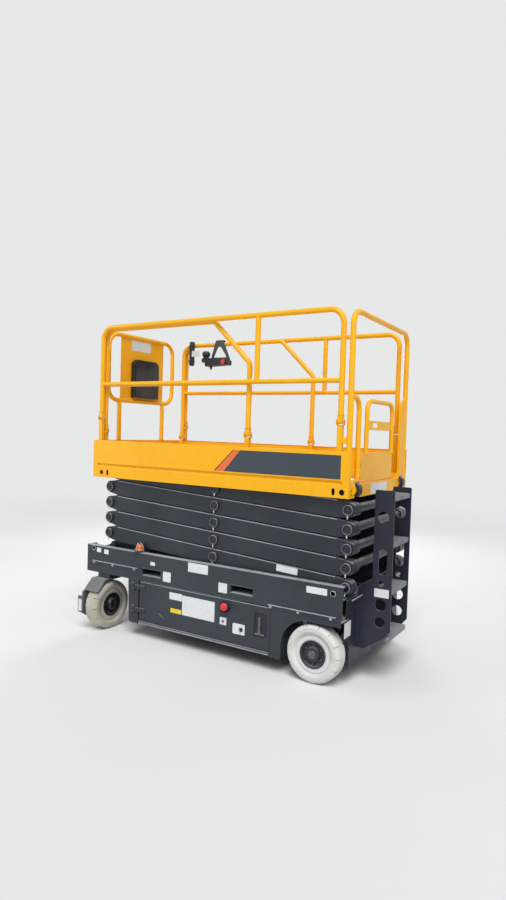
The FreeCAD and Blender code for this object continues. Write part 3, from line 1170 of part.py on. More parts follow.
def make_gate():
    """The entry gate, hung on the left jamb: a U of tube, a cross plate and a kick plate."""
    x = deck_rear + tube_radius
    hoop = tube("gate_hoop", "YZ", x, [
        (gate_near, kick_top - 10), (gate_near, gate_top, 70), (gate_far, gate_top, 70),
        (gate_far, kick_top - 10)], gate_radius)
    low = (kick_top + gate_top) / 2 - 22
    cross = pad("gate_cross", "YZ", x - 4, x + 4, [
        (gate_far, low), (gate_near, low), (gate_near, low + 63), (gate_far, low + 63)],
        cuts=[[(40, low + 18, 8), (150, low + 18, 8), (150, low + 48, 8), (40, low + 48, 8)]])
    kick = pad("gate_kick", "YZ", x - 4, x + 4, [
        (kick_far, kick_base, 20), (kick_near - 16, kick_base), (kick_near - 16, kick_top),
        (kick_far, kick_top, 20)])
    pieces = [hoop, cross, kick]
    for index, z in enumerate((gate_hinge_low, gate_hinge_high)):
        barrel = rod(f"gate_knuckle_{index}", "Z", x, kick_near, z, gate_knuckle, 11)
        leaf = block(f"gate_leaf_{index}", (x - 4, x + 4), (kick_near - 20, kick_near), (z, z + gate_knuckle))
        pieces += [barrel, leaf]
    bore = rod("gate_bore", "Z", x, kick_near, kick_base - 10, kick_top - kick_base + 20,
               gate_pin + running_gap)
    node("gate", cut("gate_bored", fuse("gate_solid", pieces), [bore]))


def make_control_box():
    """The platform control box, hung inside the right rail on its hooked bracket."""
    y = -inner_rail + tube_radius + 6
    body = pad("box_body", "XZ", y, y + box_depth, [
        (box_rear, box_base + 16, 12), (box_front, box_base, 12), (box_front, box_shoulder, 12),
        (box_front - 98, box_shoulder), (box_front - 112, box_top, 6), (box_rear + 60, box_top - 12, 12),
        (box_rear, box_top - 50, 12)])
    arm_y = -inner_rail + tube_radius + running_gap
    left = box_rear + 30
    right = box_front - 20
    crest = (left + right) / 2
    foot = box_base + 20
    plate = pad("box_bracket", "XZ", arm_y, arm_y + 6, [
        (left, foot), (right, foot), (right, box_top - 10), (crest + 45, top_rail + 28, 12),
        (crest - 45, top_rail + 28, 12), (left, box_top - 10)], cuts=[[
            (left + 62, box_top - 20, 10), (right - 62, box_top - 20, 10), (crest, top_rail + 4, 10)]])
    hook = pad("box_hook", "YZ", crest - 40, crest + 40, [
        (arm_y + 3, top_rail + tube_radius + 1), (arm_y + 3, top_rail + tube_radius + 9),
        (arm_y - 36, top_rail + tube_radius + 9), (arm_y - 36, top_rail + tube_radius + 1)])
    node("control_box", fuse("control_box_solid", [body, plate, hook]))
    button = turned("box_button_head", "XY", "V", [(0, 0), (14, 0), (14, 8), (20, 10), (20, 20), (0, 22)])
    place(button, box_rear + box_button, y + box_depth, box_base + 39)
    stick = turned("joystick_grip", "XZ", "V", [
        (0, 0), (24, 0), (20, 10), (9, 22), (9, 40), (14, 60), (14, 100), (8, 108), (0, 108)])
    place(stick, box_front - 50, y + box_depth / 2, box_shoulder)
    node("box_controls", group("box_control_pieces", [button, stick]))


def make_beacon():
    """The amber warning lamp on the left beam."""
    dome = turned("beacon_dome", "XZ", "V", [
        (0, 0), (beacon_radius, 0), (beacon_radius, 9), (beacon_radius - 2, 11),
        (beacon_radius - 2, 38, 12), (beacon_radius - 13, 58, 10), (0, 62)])
    place(dome, beacon_x, outer_face + beacon_radius + 6, beam_top + running_gap)
    node("beacon", dome)


make_beams()
make_frame()
make_side_panels()
make_rear_axle()
make_ladder()
make_beacon()
make_wheels()
for side, word, lock in ((1, "left", left_lock), (-1, "right", right_lock)):
    make_yoke(side, word, lock)
    make_tray(side, word)
    make_guard(side, word)
make_tray_contents()
make_controls()
make_outer_arms()
make_inner_arms()
make_cylinder()
make_platform()
make_extension()
make_outer_rail(1, "left", outer_left_pivot)
make_outer_rail(-1, "right", outer_right_pivot)
make_inner_rail(1, "left", inner_left_pivot)
make_inner_rail(-1, "right", inner_right_pivot)
make_front_rail()
make_rear_frame()
make_gate()
make_control_box()

doc.recompute()

failed = [item.Label for item in doc.Objects if {"Invalid", "Error"} & set(item.State)]
failed += [item.Label for item in nodes if item.Shape.isNull() or not item.Shape.isValid()]
if failed:
    raise RuntimeError(f"failed or not valid: {failed}")

os.makedirs("parts", exist_ok=True)
for item in nodes:
    item.Shape.exportStep(f"parts/{item.Label}.step")
    print(item.Label, len(item.Shape.Solids), round(item.Shape.Volume / 1e9, 5))
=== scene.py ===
import math

import bmesh
import bpy
from mathutils import Matrix, Vector


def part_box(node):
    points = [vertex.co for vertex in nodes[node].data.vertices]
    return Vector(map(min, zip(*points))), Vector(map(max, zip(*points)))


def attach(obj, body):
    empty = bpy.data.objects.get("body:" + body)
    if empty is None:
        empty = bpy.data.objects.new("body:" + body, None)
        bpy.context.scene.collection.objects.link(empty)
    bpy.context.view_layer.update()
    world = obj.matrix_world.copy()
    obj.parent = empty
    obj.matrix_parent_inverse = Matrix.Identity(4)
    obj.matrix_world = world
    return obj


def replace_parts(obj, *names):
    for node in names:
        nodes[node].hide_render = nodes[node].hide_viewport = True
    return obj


# Looks of the scissor lift: finishes, tyres, fasteners, plates, stripes, controls and the studio round it.
# Lengths are in metres, in the shared frame: +X to the steered end, +Y to the left side, +Z up.

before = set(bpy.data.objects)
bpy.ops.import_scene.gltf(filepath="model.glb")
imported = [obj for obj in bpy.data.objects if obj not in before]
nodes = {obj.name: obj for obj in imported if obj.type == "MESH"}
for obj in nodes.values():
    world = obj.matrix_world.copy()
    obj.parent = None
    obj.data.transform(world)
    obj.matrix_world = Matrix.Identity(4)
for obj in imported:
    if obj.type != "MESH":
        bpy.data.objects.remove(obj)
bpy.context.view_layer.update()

SIDES = ((1, "left"), (-1, "right"))
STAGES = range(1, 6)


def linear(red, green, blue):
    """A linear colour from screen values of 0 to 255."""
    parts = []
    for value in (red, green, blue):
        share = value / 255
        parts.append(share / 12.92 if share <= 0.04045 else ((share + 0.055) / 1.055) ** 2.4)
    return (*parts, 1.0)


class Paint:
    """A material, with short ways to add nodes to its tree."""

    def __init__(self, name, colour, rough, metallic=0.0):
        self.material = bpy.data.materials.new(name)
        self.material.use_nodes = True
        self.material.diffuse_color = colour
        self.tree = self.material.node_tree
        self.shader = self.tree.nodes["Principled BSDF"]
        self.shader.inputs["Base Color"].default_value = colour
        self.shader.inputs["Roughness"].default_value = rough
        self.shader.inputs["Metallic"].default_value = metallic
        self.place = self.add("ShaderNodeTexCoord").outputs["Object"]

    def add(self, kind, settings=None, **values):
        """A new node, with its settings and what goes into its inputs."""
        node = self.tree.nodes.new(kind)
        for key, value in (settings or {}).items():
            setattr(node, key, value)
        for key, value in values.items():
            self.feed(node.inputs[key.replace("_", " ")], value)
        return node

    def feed(self, socket, value):
        """A value or another node's output goes into a socket."""
        if isinstance(value, bpy.types.NodeSocket):
            self.tree.links.new(value, socket)
        else:
            socket.default_value = value

    def set(self, name, value):
        """What goes into an input of the surface's shader."""
        self.feed(self.shader.inputs[name], value)

    def noise(self, scale, detail=3.0, stretch=(1, 1, 1), rough=0.55):
        """Noise in the object's own coordinates."""
        moved = self.add("ShaderNodeMapping", Vector=self.place, Scale=stretch)
        node = self.add("ShaderNodeTexNoise", Vector=moved.outputs["Vector"], Scale=scale, Detail=detail,
                        Roughness=rough)
        return node.outputs["Fac"]

    def span(self, value, low, high, to_low=0.0, to_high=1.0):
        """A value carried over from one range to another."""
        node = self.add("ShaderNodeMapRange", Value=value, From_Min=low, From_Max=high,
                        To_Min=to_low, To_Max=to_high)
        return node.outputs["Result"]

    def sums(self, operation, first, second):
        """A sum or product of two values; sums stay within 0 and 1."""
        node = self.add("ShaderNodeMath", {"operation": operation, "use_clamp": operation == "ADD"})
        self.feed(node.inputs[0], first)
        self.feed(node.inputs[1], second)
        return node.outputs[0]

    def mix(self, share, first, second):
        """A colour between two colours."""
        node = self.add("ShaderNodeMix", {"data_type": "RGBA"})
        self.feed(node.inputs["Factor"], share)
        self.feed(node.inputs[6], first)
        self.feed(node.inputs[7], second)
        return node.outputs[2]

    def edges(self, radius):
        """1 on sharp edges, 0 on flat and softly curved faces."""
        soft = self.add("ShaderNodeBevel", {"samples": 6}, Radius=radius).outputs["Normal"]
        hard = self.add("ShaderNodeNewGeometry").outputs["Normal"]
        both = self.add("ShaderNodeVectorMath", {"operation": "DOT_PRODUCT"})
        self.feed(both.inputs[0], soft)
        self.feed(both.inputs[1], hard)
        return self.span(both.outputs["Value"], 0.985, 0.80)

    def upward(self):
        """1 on faces that look up, where dust lies."""
        normal = self.add("ShaderNodeNewGeometry").outputs["Normal"]
        height = self.add("ShaderNodeSeparateXYZ", Vector=normal).outputs["Z"]
        return self.span(height, 0.55, 0.95)

    def bump(self, height, strength, distance, corner=0.0):
        """Fine relief; corner is the radius of the bends along a sheet's edges."""
        node = self.add("ShaderNodeBump", Height=height, Strength=strength, Distance=distance)
        if corner:
            bend = self.add("ShaderNodeBevel", {"samples": 6}, Radius=corner)
            self.feed(node.inputs["Normal"], bend.outputs["Normal"])
        self.set("Normal", node.outputs["Normal"])


def painted(name, colour, rough=0.36, worn=(150, 152, 156), wear=0.55, dust=0.25, patch=0.10, shine=0.3):
    """Machine paint: uneven gloss, dust on top faces, rubbed edges and a little orange peel."""
    base = linear(*colour)
    paint = Paint(name, base, rough)
    paint.shader.inputs["Specular IOR Level"].default_value = shine
    broad = paint.noise(2.3, 4)
    tint = paint.mix(paint.span(broad, 0.35, 0.7, 0.0, patch), base,
                     linear(*[min(255, c + 60) for c in colour]))
    grime = paint.noise(9.0, 8, (1, 1, 0.45), 0.65)
    low = paint.span(grime, 0.52, 0.78, 0.0, patch * 1.8)
    tint = paint.mix(low, tint, linear(*[c * 0.55 for c in colour]))
    speck = paint.span(paint.noise(38.0, 5), 0.35, 0.75, 0.35, 1.0)
    dusty = paint.sums("MULTIPLY", paint.sums("MULTIPLY", paint.upward(), speck), dust)
    tint = paint.mix(dusty, tint, linear(172, 172, 168))
    rubbed = paint.span(paint.noise(60.0, 6, rough=0.7), 0.42, 0.62)
    bare = paint.sums("MULTIPLY", paint.sums("MULTIPLY", paint.edges(0.0022), rubbed), wear)
    tint = paint.mix(bare, tint, linear(*worn))
    paint.set("Base Color", tint)
    gloss = paint.span(grime, 0.3, 0.8, rough - 0.07, rough + 0.16)
    paint.set("Roughness", paint.sums("ADD", gloss, paint.sums("MULTIPLY", dusty, 0.5)))
    paint.bump(paint.noise(420.0, 2), 0.06, 0.0006, 0.0035)
    return paint.material


def rubber(name, colour, dirt, soil):
    """Pale non-marking rubber, scuffed and soiled on its rolling face."""
    base = linear(*colour)
    paint = Paint(name, base, 0.72)
    cloudy = paint.noise(5.0, 6, rough=0.55)
    fine = paint.noise(95.0, 5, rough=0.65)
    tint = paint.mix(paint.span(cloudy, 0.36, 0.76, 0.0, soil), base, linear(*dirt))
    tint = paint.mix(paint.span(fine, 0.52, 0.8, 0.0, soil * 0.55), tint, linear(*[c * 0.7 for c in dirt]))
    paint.set("Base Color", tint)
    paint.set("Roughness", paint.span(fine, 0.3, 0.7, 0.62, 0.88))
    paint.bump(paint.noise(260.0, 4), 0.25, 0.0012)
    return paint.material


def plastic(name, colour, rough=0.45):
    """Moulded plastic with a fine grain."""
    base = linear(*colour)
    paint = Paint(name, base, rough)
    dull = paint.noise(7.0, 5)
    paint.set("Base Color", paint.mix(paint.span(dull, 0.35, 0.75, 0.0, 0.18), base,
                                      linear(*[min(255, c + 26) for c in colour])))
    paint.set("Roughness", paint.span(dull, 0.3, 0.7, rough - 0.06, rough + 0.12))
    paint.bump(paint.noise(900.0, 2), 0.12, 0.0004)
    return paint.material


def metal(name, colour, rough):
    """Bare metal with fine streaks."""
    base = linear(*colour)
    paint = Paint(name, base, rough, 1.0)
    streak = paint.noise(90.0, 5, (1, 1, 0.2))
    paint.set("Base Color", paint.mix(paint.span(streak, 0.4, 0.75, 0.0, 0.5), base,
                                      linear(*[c * 0.6 for c in colour])))
    paint.set("Roughness", paint.span(streak, 0.3, 0.7, rough - 0.08, rough + 0.2))
    return paint.material


def sticker(name, colour):
    """Printed film without print: satin, a little yellowed and scuffed."""
    base = linear(*colour)
    paint = Paint(name, base, 0.34)
    stain = paint.noise(24.0, 6)
    paint.set("Base Color", paint.mix(paint.span(stain, 0.45, 0.8, 0.0, 0.22), base,
                                      linear(*[c * 0.72 for c in colour])))
    paint.set("Roughness", paint.span(stain, 0.3, 0.8, 0.28, 0.5))
    return paint.material


def glow(name, colour):
    """Clear coloured plastic of a lamp."""
    paint = Paint(name, linear(*colour), 0.16)
    paint.shader.inputs["Transmission Weight"].default_value = 0.35
    paint.shader.inputs["IOR"].default_value = 1.49
    ribs = paint.noise(140.0, 1, (0.05, 0.05, 1))
    paint.bump(ribs, 0.2, 0.001)
    return paint.material


def make_materials():
    """Each look of the machine, by the word that the pieces use for it."""
    return {
        "dark": painted("chassis_paint", (46, 52, 60), 0.33, wear=0.75, dust=0.85),
        "arm": painted("arm_paint", (38, 44, 52), 0.34, wear=0.75, dust=0.8),
        # Pale edge paint: real rubbed edges on beams, guards and doors, and also painted highlights on the
        # arms' upper edges, the doors' top folds and the floors inside the fork pockets
        "edge": painted("rubbed_paint_and_highlight", (140, 146, 154), 0.42, (176, 178, 180), 0.5, 0.3, 0.3),
        "ladder": painted("ladder_paint", (34, 38, 50), 0.34, wear=0.6, dust=0.6),
        "step": painted("step_paint", (104, 110, 116), 0.55, wear=0.6, dust=0.6, patch=0.4),
        "yellow": painted("yellow_paint", (238, 171, 11), 0.30, (196, 140, 18), 0.30, 0.08, 0.07),
        "rim": painted("rim_paint", (46, 47, 52), 0.42, wear=0.4, dust=0.3, patch=0.25),
        "black": painted("black_paint", (18, 19, 22), 0.26, wear=0.4, dust=0.3, shine=0.5),
        "yoke": painted("yoke_paint", (78, 82, 84), 0.42, wear=0.6, dust=0.7, patch=0.25),
        "tyre_rear": rubber("tyre_rubber_rear", (210, 211, 207), (164, 162, 154), 0.5),
        "flange": painted("flange_paint", (208, 208, 206), 0.34, (170, 168, 162), 0.5, 0.3, 0.15),
        "tyre_front": rubber("tyre_rubber_front", (190, 186, 175), (136, 127, 112), 0.75),
        "plastic": plastic("black_plastic", (28, 30, 34)),
        "box": plastic("box_plastic", (30, 29, 31), 0.22),
        "grey": plastic("grey_plastic", (46, 50, 55), 0.4),
        "red": plastic("red_plastic", (205, 48, 56), 0.3),
        "pale": plastic("pale_plastic", (196, 196, 192), 0.45),
        "chrome": metal("rod_chrome", (214, 216, 220), 0.12),
        "steel": metal("bolt_steel", (196, 196, 194), 0.32),
        "dull_steel": metal("dull_steel", (122, 122, 124), 0.42),
        "white": sticker("white_film", (216, 219, 220)),
        "yellow_film": sticker("yellow_film", (222, 200, 30)),
        "decal": sticker("dark_film", (52, 61, 71)),
        "orange": sticker("orange_film", (226, 106, 46)),
        "maroon": sticker("maroon_film", (112, 34, 20)),
        "amber": glow("amber_lens", (236, 122, 44)),
        "battery": plastic("battery_plastic", (34, 38, 46), 0.42),
    }


MATERIALS = make_materials()


def axes(origin, u, v, w):
    """The placing that sends local x, y and z along u, v and w from an origin."""
    turn = Matrix((u, v, w)).transposed().to_4x4()
    return Matrix.Translation(origin) @ turn


def on_side(y, side=1, x=0.0, z=0.0):
    """Local (x, y) is (x, z) on a side of the machine, and local z points outwards."""
    return axes((x, y, z), (1, 0, 0), (0, 0, 1), (0, side, 0))


def on_rear(x):
    """Local (x, y) is (y, z) on a face that looks to the rear, and local z points outwards."""
    return axes((x, 0, 0), (0, 1, 0), (0, 0, 1), (-1, 0, 0))


def on_top(z, x=0.0, y=0.0):
    """Local x, y and z stay as they are, from a point on a top face."""
    return Matrix.Translation((x, y, z))


def rounded(corners, radius, steps=4):
    """An outline with its corners rounded."""
    points = []
    count = len(corners)
    for index in range(count):
        corner = Vector(corners[index])
        before = Vector(corners[index - 1]) - corner
        after = Vector(corners[(index + 1) % count]) - corner
        half = before.angle(after) / 2
        reach = min(radius / math.tan(half), before.length * 0.49, after.length * 0.49)
        start = corner + before.normalized() * reach
        end = corner + after.normalized() * reach
        for step in range(steps + 1):
            share = step / steps
            points.append(start * (1 - share) ** 2 + corner * 2 * share * (1 - share) + end * share ** 2)
    return points


def oblong(x0, x1, y0, y1, radius, steps=4):
    """A rectangle with rounded corners."""
    return rounded([(x0, y0), (x1, y0), (x1, y1), (x0, y1)], radius, steps)


def circle(radius, steps):
    """The corners of a regular outline."""
    return [(radius * math.cos(2 * math.pi * k / steps), radius * math.sin(2 * math.pi * k / steps))
            for k in range(steps)]


class Piece:
    """Mesh forms that become one object."""

    def __init__(self):
        self.mesh = bmesh.new()

    def prism(self, outline, low, high, place=Matrix.Identity(4), taper=0.0):
        """A plate from low to high; taper pulls in its upper outline for a soft edge."""
        centre = sum((Vector(p) for p in outline), Vector((0, 0))) / len(outline)
        rings = [(low, 0.0), (high, 0.0)]
        if taper:
            rings = [(low, 0.0), (high - taper, 0.0), (high, taper)]
        loops = []
        for height, inset in rings:
            loop = []
            for point in outline:
                away = Vector(point) - centre
                flat = centre + away * (1 - inset / max(away.length, 1e-6))
                loop.append(self.mesh.verts.new(place @ Vector((*flat, height))))
            loops.append(loop)
        self.bridge(loops)
        self.mesh.faces.new(loops[0][::-1])
        self.mesh.faces.new(loops[-1])
        return self

    def bridge(self, loops, closed=False):
        """Faces between loops of as many points, and from the last loop back to the first if closed."""
        pairs = list(zip(loops, loops[1:]))
        if closed:
            pairs.append((loops[-1], loops[0]))
        for first, second in pairs:
            count = len(first)
            for k in range(count):
                self.mesh.faces.new((first[k], first[(k + 1) % count],
                                     second[(k + 1) % count], second[k]))

    def lathe(self, profile, place=Matrix.Identity(4), steps=32, closed=False):
        """A turned form about local z, from (radius, height) pairs."""
        loops = []
        for radius, height in profile:
            loops.append([self.mesh.verts.new(place @ Vector((x, y, height)))
                          for x, y in circle(max(radius, 1e-5), steps)])
        self.bridge(loops, closed)
        if not closed:
            self.mesh.faces.new(loops[0][::-1])
            self.mesh.faces.new(loops[-1])
        return self

    def window(self, outer, inner, low, high, place=Matrix.Identity(4)):
        """A plate with an opening; both outlines have as many points."""
        loops = []
        for outline, height in ((outer, low), (outer, high), (inner, high), (inner, low)):
            loops.append([self.mesh.verts.new(place @ Vector((*point, height))) for point in outline])
        self.bridge(loops, True)
        return self

    def pipe(self, path, radius, steps=10, closed=False):
        """A round bar along a list of points."""
        points = [Vector(p) for p in path]
        loops = []
        normal = None
        for index, point in enumerate(points):
            before = points[index - 1] if (index or closed) else point
            after = points[(index + 1) % len(points)] if (index + 1 < len(points) or closed) else point
            along = (after - before).normalized()
            if normal is None:
                normal = along.orthogonal().normalized()
            normal = (normal - along * normal.dot(along)).normalized()
            across = along.cross(normal)
            loops.append([self.mesh.verts.new(point + normal * a + across * b)
                          for a, b in circle(radius, steps)])
        self.bridge(loops, closed)
        if not closed:
            self.mesh.faces.new(loops[0][::-1])
            self.mesh.faces.new(loops[-1])
        return self

    def bolt(self, place, size, head, washer=True):
        """A hexagon bolt head, with its washer, on a face."""
        if washer:
            self.lathe([(size * 0.95, 0.0), (size * 0.95, 0.0012), (size * 0.9, 0.0016)], place, 16)
        lift = 0.0014 if washer else 0.0
        self.prism(circle(size * 0.62, 6), lift, lift + head, place, size * 0.08)
        return self

    def done(self, name, material, body, slot=None, smooth=38.0):
        """The finished object, on its body; faces that meet at more than smooth degrees keep a hard edge."""
        bmesh.ops.recalc_face_normals(self.mesh, faces=self.mesh.faces)
        data = bpy.data.meshes.new(name)
        self.mesh.to_mesh(data)
        self.mesh.free()
        item = bpy.data.objects.new(name, data)
        bpy.context.scene.collection.objects.link(item)
        data.materials.append(MATERIALS[material])
        for polygon in data.polygons:
            polygon.use_smooth = True
        data.set_sharp_from_angle(angle=math.radians(smooth))
        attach(item, body)
        return item


def plate(name, place, box, material, body):
    """A flat blank sticker or plate on a face, from its (low x, high x, low y, high y)."""
    Piece().prism(oblong(*box, 0.004), 0.0, 0.0009, place, 0.0003).done(name, material, body)


# Measures of the machine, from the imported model
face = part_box("beam_left")[1].y
beam_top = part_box("beam_left")[1].z
deck_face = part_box("platform_deck")[1].y
tyre_low, tyre_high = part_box("tyre_rear_left")
tyre_size = (tyre_high.x - tyre_low.x) / 2
tyre_half = (tyre_high.y - tyre_low.y) / 2
arm_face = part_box("outer_arms_3")[1].y

# The scissor stack at rest: its lowest rear pin, its arms, their slope and how far a pin stands out
REAR_PIN_X, REAR_PIN_Z = -1.0, 0.644
ARM_LENGTH, STAGE_RISE, ARM_HALF, PIN_PROUD = 2.061, 0.124, 0.0570, 0.006
ARM_TILT = math.asin(STAGE_RISE / ARM_LENGTH)

# Faces that carry trim: the platform's rear end, the inside of the roll-out deck's right rail, and the
# control box on it; then the rear edge of the sleeve on that rail
DECK_END, RAIL_SIDE, BOX_FACE, BOX_DEPTH = -1.016, -0.486, -0.400, 0.080
SLEEVE = 1.015

# The ladder: height of its lowest step, rise from step to step, and how many steps there are
STEP_LOW, STEP_RISE, STEP_COUNT = 0.320, 0.303, 4

# Openings in the beams (x of each pocket's rear end, x and z of each tie-down hole) and the doors' top edge
POCKET_STARTS, POCKET_WIDTH = (0.466, -0.347), 0.184
TIE_HOLES = ((1.172, 0.636), (-0.939, 0.608))
DOOR_TOP = 0.438

# The studio: colours of the floor and the backdrop, and levels of light
FLOOR_PALE, BACKDROP = (0.66, 0.66, 0.65, 1), (0.80, 0.81, 0.81, 1)
SKY, HIGH_LIGHT = 0.34, 2.75

# Wheels: the x and y of each, and the direction that it faces in degrees, at the steering's lock
FRONT_AXLE, REAR_AXLE, TRACK = 1.060, -0.810, 0.5315
LEFT_LOCK, RIGHT_LOCK = 90.0, 60.5
WHEELS = {
    "front_left": (FRONT_AXLE, TRACK, 90 + LEFT_LOCK),
    "front_right": (FRONT_AXLE, -TRACK, -90 + RIGHT_LOCK),
    "rear_left": (REAR_AXLE, TRACK, 90.0),
    "rear_right": (REAR_AXLE, -TRACK, -90.0),
}

# A tyre: its bore, how many lugs its slits part, and how far the rim's face lies inside the side wall
BORE, LUGS, RIM_SINK = 0.0925, 14, 0.030


def paint_nodes():
    """Every CAD node gets a finished material."""
    looks = {
        "dark": ["chassis_frame", "beam_left", "beam_right", "fork_pockets", "side_panels", "rear_axle",
                 "tray_left", "tray_right", "pothole_guard_left", "pothole_guard_right"],
        "ladder": ["ladder_frame"], "step": ["ladder_steps"], "amber": ["beacon"],
        "rim": [name for name in nodes if name.startswith("rim_rear")], "yoke": ["yoke_left", "yoke_right"],
        "black": ["cylinder_barrel"] + [name for name in nodes if name.startswith("rim_front")],
        "chrome": ["cylinder_rod"],
        "arm": [f"{kind}_arms_{stage}" for kind in ("outer", "inner") for stage in STAGES],
        "yellow": ["platform_deck", "side_rail_left", "side_rail_right", "rear_frame", "extension_deck",
                   "extension_rail_left", "extension_rail_right", "front_rail", "gate"],
        "battery": ["batteries"], "grey": ["hydraulic_tank"], "box": ["document_box"],
        "plastic": ["control_box", "box_controls", "ground_controls"],
        "tyre_rear": ["tyre_rear_left", "tyre_rear_right"],
        "tyre_front": ["tyre_front_left", "tyre_front_right"],
    }
    for look, names in looks.items():
        for name in names:
            item = nodes[name]
            if not item.material_slots:
                item.data.materials.append(MATERIALS[look])
            for slot in item.material_slots:
                slot.material = MATERIALS[look]


def wheel_place(name):
    """Local z points out along the wheel's axle, local y up."""
    x, y, heading = WHEELS[name]
    turn = math.radians(heading)
    out = Vector((math.cos(turn), math.sin(turn), 0))
    up = Vector((0, 0, 1))
    return axes((x, y, tyre_size), up.cross(out), up, out)


def make_tyre(name):
    """A solid tyre: side walls dished down to the rim, and slits across its shoulders."""
    half, outer = tyre_half, tyre_size
    wall = [(BORE, half - 0.0185), (0.1190, half - 0.0180), (0.1250, half - 0.0172), (0.1290, half - 0.0145),
            (0.1395, half - 0.0042), (0.1430, half - 0.0018), (0.1475, half - 0.0004), (0.1585, half),
            (0.1600, half - 0.0024), (0.1625, half - 0.0024), (0.1640, half - 0.0002),
            (0.1690, half - 0.0006), (0.1765, half - 0.0034)]
    crown = [(0.1825, half - 0.0082), (0.1864, half - 0.0145), (0.1890, half - 0.0230),
             (outer, half - 0.0340), (outer, half - 0.0420), (outer, half - 0.0425), (outer, 0.0)]
    profile = wall + crown
    profile = profile + [(radius, -height) for radius, height in reversed(profile[:-1])]
    profile += [(BORE, -half + RIM_SINK), (BORE, half - RIM_SINK)]
    steps, slit = (0.0, 0.008, 0.052, 0.060, 0.24, 0.39, 0.54, 0.69, 0.84), (1, 2)
    slit_from, slit_reach, slit_depth, slit_lean = 0.174, 0.0422, 0.0090, 0.0015
    place = wheel_place(name)
    piece = Piece()
    loops = []
    for radius, height in profile:
        loop = []
        for k in range(LUGS * len(steps)):
            index = k % len(steps)
            angle = 2 * math.pi * (k // len(steps) + steps[index]) / LUGS
            size, depth = radius, height
            if radius > slit_from and abs(height) > half - slit_reach and index in slit:
                size = radius - slit_depth
                depth = height - math.copysign(slit_lean, height)
            loop.append(piece.mesh.verts.new(place @ Vector((size * math.cos(angle), size * math.sin(angle),
                                                            depth))))
        loops.append(loop)
    piece.bridge(loops, True)
    look = "tyre_front" if name.startswith("front") else "tyre_rear"
    tyre = piece.done(f"tyre_{name}_cut", look, f"wheel_{name}", "tyre_rubber", 28)
    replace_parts(tyre, f"tyre_{name}")


def make_hub(name):
    """Wheel bolts, the rim's flange, and a ring nut on a rear hub or a dome on a front one."""
    place = wheel_place(name)
    bolts = Piece()
    count, bolt_circle = (6 if name.startswith("rear") else 5), 0.063
    for k in range(count):
        turn = 2 * math.pi * (k + 0.5) / count
        spot = place @ Matrix.Translation((bolt_circle * math.cos(turn), bolt_circle * math.sin(turn),
                                           tyre_half - RIM_SINK))
        bolts.bolt(spot, 0.0085, 0.007)
        bolts.lathe([(0.0032, 0.0), (0.0032, 0.0125), (0.0026, 0.0135)], spot, 12)
    bolts.done(f"wheel_bolts_{name}", "dull_steel", f"wheel_{name}")
    hub = tyre_half - 0.008
    cap = Piece()
    if name.startswith("rear"):
        nut = place @ Matrix.Translation((0, 0, hub))
        cap.prism(circle(0.0275, 12), -0.003, 0.0075, nut, 0.002)
        cap.lathe([(0.0170, 0.0070), (0.0170, 0.0115), (0.0150, 0.0125), (0.0, 0.0125)], nut, 24)
        cap.done(f"hub_nut_{name}", "dull_steel", f"wheel_{name}")
    else:
        cap.lathe([(0.0430, hub - 0.003), (0.0430, hub + 0.001), (0.0405, hub + 0.0050),
                   (0.0330, hub + 0.0100), (0.0220, hub + 0.0135), (0.0100, hub + 0.0150),
                   (0.0, hub + 0.0152)], place, 40)
        cap.done(f"hub_dome_{name}", "black", f"wheel_{name}")
    ring = Piece()
    ring.lathe([(0.0930, tyre_half - 0.0220), (0.0930, tyre_half - 0.0182), (0.1180, tyre_half - 0.0178),
                (0.1205, tyre_half - 0.0170), (0.1205, tyre_half - 0.0145), (0.1180, tyre_half - 0.0138),
                (0.0905, tyre_half - 0.0150), (0.0860, tyre_half - 0.0172), (0.0850, tyre_half - 0.0240)],
               place, 64, True)
    look = "tyre_front" if name.startswith("front") else "flange"
    ring.done(f"rim_bead_{name}", look, f"wheel_{name}", "tyre_rubber")


